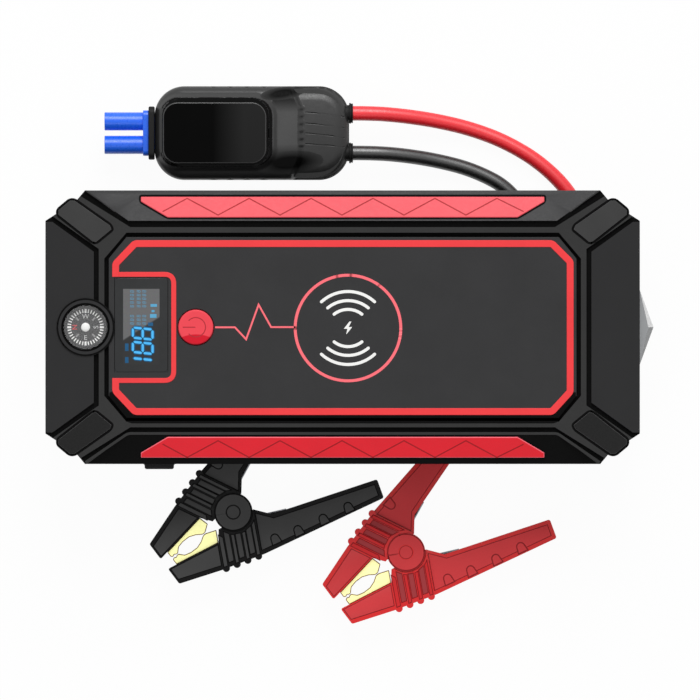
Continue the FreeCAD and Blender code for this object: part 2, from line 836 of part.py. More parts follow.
def make_front_panel():
    """The black sheet with its openings for the window and the button."""
    body = new_body("front_panel")
    base = new_sketch(body, "panel_outline", offset=recess_floor)
    quarter = [
        (recess_half_x - s.panel_gap, recess_half_y - s.recess_corner_y),
        (recess_half_x - s.recess_corner_x, recess_half_y - s.panel_gap),
    ]
    add_outline(base, four_ways(quarter))
    gap = s.seat_gap * 2
    add_outline(base, rectangle(s.display_x, s.display_y, s.window_width + gap, s.window_height + gap))
    add_circle(base, s.button_x, 0, s.button_radius + s.button_gap)
    pad(body, base, s.panel_thickness)
    notch = new_sketch(body, "compass_notch", offset=panel_top)
    add_circle(notch, compass_x, 0, s.boss_radius + s.seat_gap)
    pocket(body, notch, s.panel_thickness)
    place_in_pack(body)
    return keep(body, "front_panel")


def make_window_and_display():
    body = new_body("display_window")
    base = new_sketch(body, "window_outline", offset=recess_floor)
    add_outline(base, rectangle(s.display_x, s.display_y, s.window_width, s.window_height, 1.5))
    pad(body, base, s.panel_thickness + s.window_rise)
    place_in_pack(body)
    keep(body, "display_window")
    half_x = s.window_width / 2 - s.glass_ledge - s.seat_gap
    half_y = s.window_height / 2 - s.glass_ledge - s.seat_gap
    low = (s.display_x - half_x, s.display_y - half_y, display_board_top)
    high = (s.display_x + half_x, s.display_y + half_y, recess_floor - s.lcd_drop)
    block("lcd_module", low, high)
    half_board = s.display_board_width / 2
    low = (s.display_board_x - half_board, -s.display_board_height / 2, display_board_top - s.board_thickness)
    high = (s.display_board_x + half_board, s.display_board_height / 2, display_board_top)
    block("display_board", low, high)


def make_button():
    """Round push button with a retaining flange and a short stem over its switch."""
    flange_top = recess_floor - 0.9 - s.button_flange_gap
    body = new_body("power_button")
    cap = new_sketch(body, "button_cap", offset=flange_top - s.button_flange)
    add_circle(cap, s.button_x, 0, s.button_radius)
    pad(body, cap, panel_top + s.button_rise - flange_top + s.button_flange)
    soften(body, "Fillet", 0.5, lambda p: near(p.z, panel_top + s.button_rise))
    flange = new_sketch(body, "button_rim", offset=flange_top - s.button_flange)
    add_circle(flange, s.button_x, 0, s.button_radius + s.button_flange_lip)
    pad(body, flange, s.button_flange)
    place_in_pack(body)
    keep(body, "power_button")
    switch = new_body("button_switch")
    housing = new_sketch(switch, "switch_housing", offset=display_board_top)
    add_outline(housing, rectangle(s.button_x, 0, 6.0, 6.0))
    plunger_top = flange_top - s.button_flange - s.switch_gap
    pad(switch, housing, plunger_top - display_board_top - 0.4)
    plunger = new_sketch(switch, "switch_plunger", offset=display_board_top)
    add_circle(plunger, s.button_x, 0, 1.7)
    pad(switch, plunger, plunger_top - display_board_top)
    place_in_pack(switch)
    keep(switch, "button_switch")


def make_compass():
    """A cup with a needle pivot, a turning card on it and a clear dome over both."""
    rim = s.pack_height + s.boss_rise - 0.2
    cup_base = rim - s.cup_depth
    dome_low = rim - s.dome_thickness
    body = new_body("compass_cup")
    base = new_sketch(body, "cup_outline", offset=cup_base)
    add_circle(base, compass_x, 0, s.cup_radius)
    pad(body, base, s.cup_depth)
    hollow = new_sketch(body, "cup_hollow", offset=rim)
    add_circle(hollow, compass_x, 0, s.cup_radius - s.cup_wall)
    pocket(body, hollow, s.cup_depth - s.cup_floor)
    ledge = new_sketch(body, "cup_ledge", offset=rim)
    add_circle(ledge, compass_x, 0, s.cup_radius - s.cup_wall + s.dome_ledge)
    pocket(body, ledge, s.dome_thickness)
    card_top = dome_low - s.card_drop
    pivot = new_sketch(body, "cup_pivot", offset=cup_base + s.cup_floor - 0.2)
    add_circle(pivot, compass_x, 0, s.pivot_radius)
    pad(body, pivot, card_top - 0.4 - cup_base - s.cup_floor + 0.2)
    place_in_pack(body)
    keep(body, "compass_cup")
    card = new_body("compass_card")
    disc = new_sketch(card, "card_disc", offset=card_top - s.card_thickness)
    add_circle(disc, compass_x, 0, s.card_radius)
    pad(card, disc, s.card_thickness)
    hub = new_sketch(card, "card_hub", offset=card_top - s.card_thickness * 2)
    add_circle(hub, compass_x, 0, s.pivot_radius * 3)
    pad(card, hub, s.card_thickness * 2)
    jewel = new_sketch(card, "card_jewel", offset=card_top - s.card_thickness * 2)
    add_circle(jewel, compass_x, 0, s.pivot_radius + s.pivot_gap)
    pocket(card, jewel, s.card_thickness * 2 - 0.3, backwards=True)
    place_in_pack(card)
    keep(card, "compass_card")
    dome = new_body("compass_dome")
    disc = new_sketch(dome, "dome_disc", offset=dome_low)
    add_circle(disc, compass_x, 0, s.cup_radius - s.cup_wall + s.dome_ledge - 0.03)
    pad(dome, disc, s.dome_thickness)
    soften(dome, "Fillet", 0.6, lambda p: near(p.z, rim))
    place_in_pack(dome)
    keep(dome, "compass_dome")


def make_inlays():
    for side, label in ((1, "top_inlay"), (-1, "bottom_inlay")):
        body = new_body(label)
        sketch = bar_face_sketch(body, label + "_face", side, inlay_outline)
        low = pad(body, sketch, s.inlay_thickness)
        slope = math.atan2(s.bar_drop, s.bar_depth)
        sink = FreeCAD.Vector(0, -side * math.sin(slope), -math.cos(slope)) * float(s.inlay_seat)
        place = sketch.AttachmentOffset
        place.Base = place.Base + sink
        corner = half_width - s.bar_depth
        sketch.setExpression("AttachmentOffset.Base.y", "%d * %s + %r" % (side, corner.formula, sink.y))
        sketch.setExpression("AttachmentOffset.Base.z", "Sizes.pack_height + %r" % sink.z)
        low.Label = label + "_plate"
        place_in_pack(body)
        keep(body, label)


def make_corner_pads():
    """Four rubber bumpers: a plate in the front and a leg down the corner."""
    for number, (sx, sy) in enumerate(((-1, 1), (1, 1), (-1, -1), (1, -1)), start=1):
        body = new_body("corner_pad_%d" % number)
        leg = new_sketch(body, "pad_leg_%d" % number, offset=s.pad_leg_foot)
        add_outline(leg, [(x * sx, y * sy) for x, y in pad_leg_outline])
        pad(body, leg, s.pack_height - s.corner_pad_seat - s.pad_leg_foot)
        plate = new_sketch(body, "pad_plate_%d" % number, offset=s.pack_height - s.corner_pad_seat)
        add_outline(plate, [(x * sx, y * sy) for x, y in pad_plate_outline])
        pad(body, plate, s.corner_pad_seat + s.corner_pad_rise)
        place_in_pack(body)
        keep(body, "corner_pad_%d" % number)


def make_flashlight():
    """A wedge-shaped clear lens on the end, with a reflector block and a lamp board behind it."""
    body = new_body("flashlight_lens")
    base = new_sketch(body, "lens_base", "YZ_Plane", half_length - s.lens_seat)
    add_outline(base, rectangle(0, s.seam_height, s.lens_width, s.lens_height))
    pad(body, base, s.lens_seat)
    tip_x = half_length + s.lens_reach
    wedge = new_sketch(body, "lens_wedge", offset=s.seam_height)
    corners = [
        (half_length, -s.lens_width / 2),
        (tip_x, -s.lens_tip / 2),
        (tip_x, s.lens_tip / 2),
        (half_length, s.lens_width / 2),
    ]
    add_outline(wedge, corners)
    pad(body, wedge, s.lens_height, both_ways=True)
    slopes = new_sketch(body, "lens_slopes", "XZ_Plane")
    for side in (1, -1):
        high = s.seam_height + s.lens_height / 2 * side
        low = s.seam_height + s.lens_tip_height / 2 * side
        add_outline(slopes, [(half_length, high), (tip_x + 1.0, low), (tip_x + 1.0, high + 1.0 * side)])
    pocket(body, slopes, s.lens_width + 2.0, both_ways=True)
    place_in_pack(body)
    keep(body, "flashlight_lens")
    face = half_length - s.wall
    reflector = new_body("reflector")
    width = s.lens_width - s.lens_ledge
    height = s.lens_height - s.lens_ledge
    shape = new_sketch(reflector, "reflector_block", "YZ_Plane", face - s.reflector_depth)
    add_outline(shape, rectangle(0, s.seam_height, width, height))
    pad(reflector, shape, s.reflector_depth)
    cups = new_sketch(reflector, "reflector_cups", "YZ_Plane", face)
    for index in range(int(s.lamp_count)):
        add_circle(cups, s.lamp_pitch * (index - (s.lamp_count - 1) / 2), s.seam_height, s.lamp_radius)
    cut = pocket(reflector, cups, s.reflector_depth)
    cut.TaperAngle = -12.0
    doc.recompute()
    place_in_pack(reflector)
    keep(reflector, "reflector")
    board_low = (face - s.reflector_depth - s.board_thickness, -width / 2, s.seam_height - height / 2)
    board_high = (face - s.reflector_depth, width / 2, s.seam_height + height / 2)
    block("led_board", board_low, board_high)


def make_ports():
    """Rubber port cover with a bead hinge, and the sockets behind it."""
    outer = half_width
    body = new_body("port_cover")
    flap = new_sketch(body, "cover_flap", "XZ_Plane", outer - s.cover_thickness)
    middle = (s.cover_low + s.cover_high) / 2
    add_outline(flap, rectangle(s.cover_x, middle, s.cover_width, s.cover_high - s.cover_low))
    pad(body, flap, s.cover_thickness)
    bead = new_sketch(body, "cover_bead", "YZ_Plane", s.cover_x - s.cover_width / 2)
    add_circle(bead, -outer + s.cover_thickness / 2, s.cover_low, s.cover_thickness / 2)
    pad(body, bead, s.cover_width)
    tab = new_sketch(body, "cover_tab", "XZ_Plane", outer - s.cover_thickness / 2)
    tab_middle = s.cover_high - s.cover_tab_height / 2
    add_outline(tab, rectangle(s.cover_x, tab_middle, s.cover_tab_width, s.cover_tab_height))
    pad(body, tab, s.cover_tab_reach + s.cover_thickness / 2)
    place_in_pack(body)
    keep(body, "port_cover")
    face = outer - s.cover_thickness - s.cover_gap
    socket = new_body("ec5_socket")
    shape = new_sketch(socket, "socket_face", "XZ_Plane", face)
    add_outline(shape, rectangle(s.socket_x, s.seam_height, s.socket_width, s.socket_height))
    pad(socket, shape, s.socket_depth, backwards=True)
    wells = new_sketch(socket, "socket_wells", "XZ_Plane", face)
    for side in (1, -1):
        add_circle(wells, s.socket_x + s.pole_pitch / 2 * side, s.seam_height, s.well_radius)
    pocket(socket, wells, s.well_depth)
    tails = new_sketch(socket, "socket_tails", "XZ_Plane", face)
    for side in (1, -1):
        add_circle(tails, s.socket_x + s.pole_pitch / 2 * side, s.seam_height, s.pin_neck + s.contact_gap)
    pocket(socket, tails, s.socket_depth + 1.0)
    place_in_pack(socket)
    keep(socket, "ec5_socket")
    pins = new_body("socket_pin_1")
    make_pin(pins, face, 1)
    other = new_body("socket_pin_2")
    make_pin(other, face, -1)
    pair = doc.addObject("Part::Compound", "socket_pins")
    pair.Links = [pins, other]
    place_in_pack(pair)
    keep(pair, "socket_pins")
    for label, x, width, height in (
        ("usb_a_socket", s.usb_a_x, s.usb_a_width, s.usb_a_height),
        ("usb_c_socket", s.usb_c_x, s.usb_c_width, s.usb_c_height),
    ):
        usb = new_body(label)
        centre = main_board_top + height / 2
        shape = new_sketch(usb, label + "_face", "XZ_Plane", face)
        add_outline(shape, rectangle(x, centre, width, height))
        pad(usb, shape, s.usb_depth, backwards=True)
        hollow = new_sketch(usb, label + "_hollow", "XZ_Plane", face)
        add_outline(hollow, rectangle(x, centre, width - s.usb_wall * 2, height - s.usb_wall * 2))
        pocket(usb, hollow, s.usb_depth - 2.0)
        tongue = new_sketch(usb, label + "_tongue", "XZ_Plane", face - s.usb_depth + 1.0)
        add_outline(tongue, rectangle(x, centre, width * 0.72, height * 0.25))
        pad(usb, tongue, s.usb_depth - 2.5)
        place_in_pack(usb)
        keep(usb, label)
    low = (s.main_board_x - s.main_board_length / 2, s.main_board_low, s.main_board_height)
    high = (s.main_board_x + s.main_board_length / 2, s.main_board_high, main_board_top)
    block("main_board", low, high)


def make_pin(body, face, side):
    """A contact pin with a thinner neck that goes back through the socket."""
    x = s.socket_x + s.pole_pitch / 2 * side
    free = new_sketch(body, body.Name + "_free", "XZ_Plane", face - s.pin_recess)
    add_circle(free, x, s.seam_height, s.pin_radius)
    pad(body, free, s.pin_length, backwards=True)
    neck = new_sketch(body, body.Name + "_neck", "XZ_Plane", face - s.pin_recess)
    add_circle(neck, x, s.seam_height, s.pin_neck)
    pad(body, neck, s.socket_depth - s.pin_recess + s.pin_tail, backwards=True)


def make_battery():
    """Four flat cells between foam, straps to the socket, and the charging coil on top."""
    half_x = s.cell_length / 2
    half_y = s.cell_width / 2
    cells_low = floor_top + s.foam_thickness
    for number in range(1, int(s.cell_count) + 1):
        body = new_body("battery_cell_%d" % number)
        sketch = new_sketch(body, "cell_%d" % number, offset=cells_low + s.cell_thickness * (number - 1))
        add_outline(sketch, rectangle(s.cell_x, 0, s.cell_length, s.cell_width, 3.0))
        pad(body, sketch, s.cell_thickness)
        place_in_pack(body)
        keep(body, "battery_cell_%d" % number)
    cells_high = cells_low + s.cell_thickness * s.cell_count
    ferrite_low = roof - s.coil_thickness - s.ferrite_thickness
    foam = []
    for name, low, high in (("foam_low", floor_top, cells_low), ("foam_high", cells_high, ferrite_low)):
        box = doc.addObject("Part::Box", name)
        bind(box, "Length", s.cell_length - 6.0)
        bind(box, "Width", s.cell_width - 4.0)
        bind(box, "Height", high - low)
        box.setExpression("Placement.Base.x", (s.cell_x - half_x + 3.0).formula)
        box.setExpression("Placement.Base.y", (-half_y + 2.0).formula)
        box.setExpression("Placement.Base.z", low.formula)
        foam.append(box)
    pair = doc.addObject("Part::Compound", "battery_foam")
    pair.Links = foam
    place_in_pack(pair)
    keep(pair, "battery_foam")
    straps = []
    cell_end = s.cell_x - half_x
    pin_end = -half_width + s.cover_thickness + s.cover_gap + s.socket_depth + s.pin_tail
    for number, side in ((1, 1), (2, -1)):
        strap = new_body("strap_%d" % number)
        sketch = new_sketch(strap, "strap_run_%d" % number, "XZ_Plane", -pin_end - s.strap_thickness)
        x = s.socket_x + s.pole_pitch / 2 * side
        low = s.seam_height - s.strap_height / 2
        high = s.seam_height + s.strap_height / 2
        if side == 1:
            corners = rectangle((x - 3.0 + cell_end) / 2, s.seam_height, cell_end - x + 3.0, s.strap_height)
        else:
            corners = [
                (x - 3.0, low), (x + 3.0, low), (x + 3.0, high + 1.5), (cell_end, high + 1.5),
                (cell_end, high + 5.5), (x - 3.0, high + 5.5),
            ]
        add_outline(sketch, corners)
        pad(strap, sketch, s.strap_thickness)
        straps.append(strap)
    pair = doc.addObject("Part::Compound", "power_straps")
    pair.Links = straps
    place_in_pack(pair)
    keep(pair, "power_straps")
    coil = new_body("charging_coil")
    ring = new_sketch(coil, "coil_ring", offset=roof - s.coil_thickness)
    add_circle(ring, s.coil_x, 0, s.coil_radius)
    add_circle(ring, s.coil_x, 0, s.coil_hole)
    pad(coil, ring, s.coil_thickness)
    place_in_pack(coil)
    keep(coil, "charging_coil")
    half = s.ferrite_side / 2
    low = (s.coil_x - half, -half, ferrite_low)
    high = (s.coil_x + half, half, ferrite_low + s.ferrite_thickness)
    block("ferrite_sheet", low, high)


def make_case_screws():
    """Eight self-tapping screws, put in from the back."""
    screws = []
    for number, (x, y) in enumerate(screw_places, start=1):
        screw = new_body("screw_%d" % number)
        head = new_sketch(screw, "screw_head_%d" % number, offset=s.screw_sink)
        add_circle(head, x, y, s.screw_head)
        pad(screw, head, s.screw_head_height)
        shank = new_sketch(screw, "screw_shank_%d" % number, offset=s.screw_sink)
        add_circle(shank, x, y, s.screw_radius)
        pad(screw, shank, s.screw_head_height + s.screw_length)
        screws.append(screw)
    group = doc.addObject("Part::Compound", "case_screws")
    group.Links = screws
    place_in_pack(group)
    keep(group, "case_screws")


# Control box and plug
box_half = s.box_length / 2
box_top = s.box_height
box_outline = rectangle(0, 0, s.box_length, s.box_width, s.box_corner)
bushing_sides = ((1, "red"), (-1, "black"))


def box_side_holes(body, name):
    """Round holes for the two lead bushings, and the slot for the plug's tail."""
    ends = new_sketch(body, name + "_bushings", "YZ_Plane", box_half - s.bushing_hold)
    for side, _ in bushing_sides:
        add_circle(ends, s.bushing_pitch / 2 * side, s.axis_height, s.bushing_neck + s.seat_gap)
    pocket(body, ends, s.bushing_hold + 2.0, backwards=True)
    slot = new_sketch(body, name + "_slot", "YZ_Plane", -box_half + s.bushing_hold)
    width = s.plug_tail_width + s.seat_gap * 2
    add_outline(slot, rectangle(0, s.axis_height, width, s.plug_tail_height + s.seat_gap * 2))
    pocket(body, slot, s.bushing_hold + 2.0)


def make_box():
    wall = s.box_wall
    inner = rectangle(0, 0, s.box_length - wall * 2, s.box_width - wall * 2, s.box_corner - wall)
    lower = new_body("box_lower_shell")
    base = new_sketch(lower, "box_lower_outline")
    add_outline(base, box_outline)
    pad(lower, base, s.box_seam)
    soften(lower, "Fillet", s.box_edge, lambda p: near(p.z, 0))
    hollow = new_sketch(lower, "box_lower_hollow", offset=s.box_seam)
    add_outline(hollow, inner)
    pocket(lower, hollow, s.box_seam - wall)
    posts = new_sketch(lower, "box_posts", offset=wall - 0.5)
    for sx in (1, -1):
        for sy in (1, -1):
            x = (s.box_board_length / 2 - 3.0) * sx
            add_circle(posts, x, (s.box_board_width / 2 - 3.0) * sy, 2.0)
    pad(lower, posts, s.box_board_height - wall + 0.5)
    box_side_holes(lower, "box_lower")
    place_in_box(lower)
    keep(lower, "box_lower_shell")
    upper = new_body("box_upper_shell")
    base = new_sketch(upper, "box_upper_outline", offset=s.box_seam)
    add_outline(base, box_outline)
    pad(upper, base, box_top - s.box_seam)
    soften(upper, "Fillet", s.box_edge, lambda p: near(p.z, box_top))
    boss = new_sketch(upper, "box_cap_boss", offset=box_top - 1.0)
    add_outline(boss, rectangle(s.box_boss_x, 0, s.box_boss_length, s.box_boss_width, 8.0))
    raised = pad(upper, boss, s.box_boss_height + 1.0)
    raised.TaperAngle = -25.0
    boss_end = s.box_boss_x + s.box_boss_length / 2
    step = new_sketch(upper, "box_step", offset=box_top - 1.0)
    add_outline(step, rectangle(boss_end + s.box_step_length / 2 - 3.0, 0.6, s.box_step_length, s.box_step_width))
    raised = pad(upper, step, s.box_step_height + 1.0)
    raised.TaperAngle = -20.0
    rib_start = boss_end + s.box_step_length - 4.0
    ribs = new_sketch(upper, "box_ribs", offset=box_top - 1.0)
    for index in range(4):
        y = s.box_rib_pitch * (index - 1.5)
        add_outline(ribs, rectangle(rib_start + s.box_rib_length / 2, y, s.box_rib_length, s.box_rib_width))
    pad(upper, ribs, s.box_rib_height + 1.0)
    hollow = new_sketch(upper, "box_upper_hollow", offset=s.box_seam)
    add_outline(hollow, inner)
    pocket(upper, hollow, box_top - wall - s.box_seam, backwards=True)
    box_side_holes(upper, "box_upper")
    place_in_box(upper)
    keep(upper, "box_upper_shell")
    cap = new_body("box_cap")
    face = new_sketch(cap, "cap_outline", offset=box_top + s.box_boss_height)
    add_outline(face, rectangle(s.box_boss_x, 0, s.cap_length, s.cap_width, s.cap_corner))
    pad(cap, face, s.cap_thickness)
    place_in_box(cap)
    keep(cap, "box_cap")
    half_x = s.box_board_length / 2
    half_y = s.box_board_width / 2
    board_top = s.box_board_height + s.board_thickness
    block("box_board", (-half_x, -half_y, s.box_board_height), (half_x, half_y, board_top), place_in_box)
    half_x = s.relay_length / 2
    half_y = s.relay_width / 2
    block("box_relay", (-half_x, -half_y, board_top), (half_x, half_y, board_top + s.relay_height), place_in_box)


def make_plug():
    """Two-pole plug on the end of the box: barrels, contact tubes and a collar."""
    collar_face = -box_half - s.collar_thickness
    block_face = collar_face - s.plug_block_length
    tip = block_face - s.barrel_length
    body = new_body("plug_body")
    base = new_sketch(body, "plug_block", "YZ_Plane", block_face)
    add_outline(base, rectangle(0, s.axis_height, s.plug_block_width, s.plug_block_height, 2.0))
    pad(body, base, s.plug_block_length)
    barrels = new_sketch(body, "plug_barrels", "YZ_Plane", tip)
    for side in (1, -1):
        add_circle(barrels, s.pole_pitch / 2 * side, s.axis_height, s.barrel_radius)
    pad(body, barrels, s.barrel_length + 0.5)
    tail = new_sketch(body, "plug_tail", "YZ_Plane", collar_face - 0.5)
    add_outline(tail, rectangle(0, s.axis_height, s.plug_tail_width, s.plug_tail_height))
    pad(body, tail, s.collar_thickness + s.bushing_hold + 0.5)
    bores = new_sketch(body, "plug_bores", "YZ_Plane", tip)
    for side in (1, -1):
        add_circle(bores, s.pole_pitch / 2 * side, s.axis_height, s.barrel_bore)
    pocket(body, bores, s.contact_recess + s.contact_depth, backwards=True)
    place_in_box(body)
    keep(body, "plug_body")
    tubes = []
    for side in (1, -1):
        tube = new_body("contact_tube_%d" % (1 if side > 0 else 2))
        ring = new_sketch(tube, tube.Name + "_ring", "YZ_Plane", tip + s.contact_recess)
        y = s.pole_pitch / 2 * side
        add_circle(ring, y, s.axis_height, s.barrel_bore - s.contact_gap)
        pad(tube, ring, s.contact_depth)
        bore = new_sketch(tube, tube.Name + "_bore", "YZ_Plane", tip + s.contact_recess)
        add_circle(bore, y, s.axis_height, s.contact_bore)
        pocket(tube, bore, s.contact_depth - 1.0, backwards=True)
        tubes.append(tube)
    pair = doc.addObject("Part::Compound", "plug_contacts")
    pair.Links = tubes
    place_in_box(pair)
    keep(pair, "plug_contacts")
    collar = new_body("plug_collar")
    face = new_sketch(collar, "collar_outline", "YZ_Plane", collar_face)
    add_outline(face, rectangle(0, s.axis_height, s.collar_width, s.collar_height, 2.5))
    gap = s.seat_gap * 2
    add_outline(face, rectangle(0, s.axis_height, s.plug_tail_width + gap, s.plug_tail_height + gap))
    pad(collar, face, s.collar_thickness)
    place_in_box(collar)
    keep(collar, "plug_collar")


def make_bushings():
    for side, colour in bushing_sides:
        body = new_body(colour + "_bushing")
        y = s.bushing_pitch / 2 * side
        neck = new_sketch(body, colour + "_neck", "YZ_Plane", box_half - s.bushing_hold)
        add_circle(neck, y, s.axis_height, s.bushing_neck)
        pad(body, neck, s.bushing_hold)
        nose = new_sketch(body, colour + "_nose", "YZ_Plane", box_half)
        add_circle(nose, y, s.axis_height, s.bushing_radius)
        pad(body, nose, s.bushing_nose)
        soften(body, "Chamfer", 0.5, lambda p: near(p.x, box_half + s.bushing_nose))
        place_in_box(body)
        keep(body, colour + "_bushing")


# Clamps. Each is drawn about its pivot: u runs along its axis towards the handles, v across it.
handle_way = (math.cos(math.radians(s.handle_turn)), math.sin(math.radians(s.handle_turn)))
handle_end_outer = (
    s.handle_end_u - s.handle_end_width * math.sin(math.radians(s.handle_turn)),
    s.handle_end_v + s.handle_end_width * math.cos(math.radians(s.handle_turn)),
)
lever_outline = [
    (s.throat_u, s.throat_v),
    (s.neck_u, s.neck_v),
    (s.knee_u, s.knee_v),
    (s.handle_end_u, s.handle_end_v, 0.8),
    handle_end_outer + (0.8,),
    (s.shoulder_u, s.shoulder_v),
    (Size(0, "0"), s.rib_start_v),
    (s.rib_end_u, s.rib_end_v),
    (s.jaw_tip_u, s.jaw_tip_outer, 0.8),
    (s.jaw_tip_u, s.jaw_tip_inner, 0.6),
    (s.jaw_root_u, s.jaw_root_v),
]
head_outline = [
    (s.throat_u, s.throat_v),
    (s.neck_u, s.neck_v),
    (s.head_end_u, s.head_end_v),
    (s.rib_end_u, s.rib_end_v),
    (s.jaw_tip_u, s.jaw_tip_outer, 0.8),
    (s.jaw_tip_u, s.jaw_tip_inner, 0.6),
    (s.jaw_root_u, s.jaw_root_v),
]


spring_height = s.spring_pitch * (s.spring_turns + 0.5) + s.spring_wire


def rib_point(across, along):
    """A point of the ribbed part, given across its leaning ribs and along them from the rivet."""
    lean = math.radians(s.rib_lean)
    u = across * math.cos(lean) - along * math.sin(lean)
    v = across * math.sin(lean) + along * math.cos(lean)
    return u, v


def rib_edge(across):
    """How far along a rib the straight outer edge of the lever lies."""
    lean = math.radians(s.rib_lean)
    rise = float((s.rib_start_v - s.rib_end_v) / -s.rib_end_u)
    start = float(s.rib_start_v)
    over = start + across * (rise * math.cos(lean) - math.sin(lean))
    return over / (math.cos(lean) + rise * math.sin(lean))


def bump_places(side):
    """Round bumps on the outer edge, one rib pitch apart; those of the lower lever sit nearer the jaw."""
    first = s.bump_first if side == 1 else s.bump_first - s.bump_lower_shift
    steps = [float(first - s.rib_pitch * index) for index in range(int(s.bump_count))]
    return [rib_point(across, rib_edge(across)) for across in steps]


def slot_outlines():
    """Shallow slots between the ribs, from near the outer edge to the disc."""
    reach = float(s.disc_radius + s.rib_disc_gap)
    half = float(s.rib_slot) / 2
    outlines = []
    for index in range(int(s.bump_count) - 1):
        middle = float(s.bump_first - s.rib_slot_shift - s.rib_pitch * index)
        first, second = middle + half, middle - half
        outlines.append([
            rib_point(first, rib_edge(first) - float(s.rib_slot_edge)),
            rib_point(second, rib_edge(second) - float(s.rib_slot_edge)),
            rib_point(second, math.sqrt(reach ** 2 - second ** 2)),
            rib_point(first, math.sqrt(reach ** 2 - first ** 2)),
        ])
    return outlines


def add_mirrored_outline(sketch, corners, side):
    add_outline(sketch, [(c[0], c[1] * side) + tuple(c[2:]) for c in corners])


def make_lever(colour, side, label):
    """One moulded lever; side is 1 for the upper one, which has the outer ears, and -1 for the lower."""
    body = new_body(label)
    outline = new_sketch(body, label + "_outline")
    add_mirrored_outline(outline, lever_outline, side)
    pad(body, outline, s.handle_thickness, both_ways=True)
    head = new_sketch(body, label + "_head")
    add_mirrored_outline(head, head_outline, side)
    pad(body, head, s.jaw_thickness, both_ways=True)
    bumps = new_sketch(body, label + "_bumps")
    for u, v in bump_places(side):
        add_circle(bumps, u, v * side, s.bump_radius)
    pad(body, bumps, s.jaw_thickness, both_ways=True)
    outer_low = s.disc_thickness / 2 - s.outer_ear
    inner_high = outer_low - s.ear_gap
    clear = s.disc_radius + s.ear_gap
    if side == 1:
        disc = new_sketch(body, label + "_disc")
        add_circle(disc, 0, 0, s.disc_radius)
        pad(body, disc, s.disc_thickness, both_ways=True)
        inside = new_sketch(body, label + "_fork")
        add_circle(inside, 0, 0, clear)
        pocket(body, inside, outer_low * 2, both_ways=True)
    else:
        for way in (1, -1):
            layer = new_sketch(body, label + "_layer", offset=inner_high * way)
            add_circle(layer, 0, 0, clear)
            pocket(body, layer, s.disc_thickness, backwards=(way == 1))
        disc = new_sketch(body, label + "_disc")
        add_circle(disc, 0, 0, s.disc_radius)
        pad(body, disc, inner_high * 2, both_ways=True)
        room = new_sketch(body, label + "_room")
        add_circle(room, 0, 0, clear + 0.6)
        pocket(body, room, (inner_high - s.inner_ear) * 2, both_ways=True)
    channel = new_sketch(body, label + "_channel")
    leg_turn = math.radians(s.spring_leg_turn)
    roof_line = s.spring_mean_radius + s.spring_wire / 2 + s.spring_leg_gap
    ends = [(4.0, roof_line), (s.spring_leg + 2.0, roof_line), (s.spring_leg + 2.0, -1.0), (4.0, -1.0)]
    cos, sin = math.cos(leg_turn), math.sin(leg_turn)
    add_mirrored_outline(channel, [(t * cos - w * sin, t * sin + w * cos) for t, w in ends], side)
    pocket(body, channel, spring_height + s.spring_leg_gap * 2, both_ways=True)
    for way in (1, -1):
        face = new_sketch(body, label + "_slots", offset=(s.jaw_thickness / 2) * way)
        for corners in slot_outlines():
            add_mirrored_outline(face, corners, side)
        pocket(body, face, s.rib_slot_depth, backwards=(way == -1))
    hole = new_sketch(body, label + "_hole")
    gap = Size(0, "0") if side == 1 else s.rivet_gap
    add_circle(hole, 0, 0, s.rivet_radius + gap)
    pocket(body, hole, s.disc_thickness * 2, both_ways=True)
    if side == 1:
        for way in (1, -1):
            sink = new_sketch(body, label + "_sink", offset=(s.disc_thickness / 2) * way)
            add_circle(sink, 0, 0, s.rivet_head)
            pocket(body, sink, s.rivet_head_height, backwards=(way == -1))
    place_in_clamp(body, colour)
    return keep(body, label)


def make_brass_jaw(colour, side, label):
    """Brass contact jaw along the inside of a lever, with half of the round gripping eye."""
    tip = s.jaw_tip_u + s.brass_reach
    low = s.brass_gap
    eye_start = s.eye_u - s.eye_half
    eye_end = s.eye_u + s.eye_half
    heel = (s.heel_u, s.heel_v) if side == 1 else (s.long_heel_u, s.long_heel_v)
    slope = (s.jaw_root_v - s.jaw_tip_inner) / (s.jaw_root_u - s.jaw_tip_u)
    seat_tip = s.jaw_tip_inner + slope * s.brass_reach
    corners = [
        (tip, seat_tip),
        (tip, low + 0.5),
        (tip + 0.9, low),
        (tip + 1.5, low + 0.5),
        (tip + 2.1, low),
        (eye_start, low),
        (eye_start + 1.6, low + s.eye_height * 0.75),
        (s.eye_u - 1.6, low + s.eye_height),
        (s.eye_u + 1.2, low + s.eye_height),
        (eye_end - 2.0, low + s.eye_height * 0.6),
        (eye_end, low),
        (eye_end + 1.2, low),
        (eye_end + heel[0], low + heel[1]),
        (s.jaw_root_u, s.jaw_root_v),
    ]
    body = new_body(label)
    sketch = new_sketch(body, label + "_face")
    add_mirrored_outline(sketch, corners, side)
    pad(body, sketch, s.brass_width, both_ways=True)
    place_in_clamp(body, colour)
    return keep(body, label)


def make_rivet(colour, label):
    body = new_body(label)
    shank = new_sketch(body, label + "_shank")
    add_circle(shank, 0, 0, s.rivet_radius)
    pad(body, shank, s.disc_thickness - s.rivet_head_height, both_ways=True)
    for way in (1, -1):
        head = new_sketch(body, label + "_head", offset=(s.disc_thickness / 2 - s.rivet_head_height) * way)
        add_circle(head, 0, 0, s.rivet_head)
        pad(body, head, s.rivet_head_height, backwards=(way == -1))
    place_in_clamp(body, colour)
    return keep(body, label)


def rounded_corner(start, corner, stop):
    """The arc that touches both lines of a corner, from start to stop."""
    back = (start - corner).normalize()
    ahead = (stop - corner).normalize()
    half_turn = (math.pi - back.getAngle(ahead)) / 2
    radius = (start - corner).Length / math.tan(half_turn)
    middle = corner + (back + ahead).normalize() * (radius * (1 / math.cos(half_turn) - 1))
    return Part.Arc(start, middle, stop).toShape()


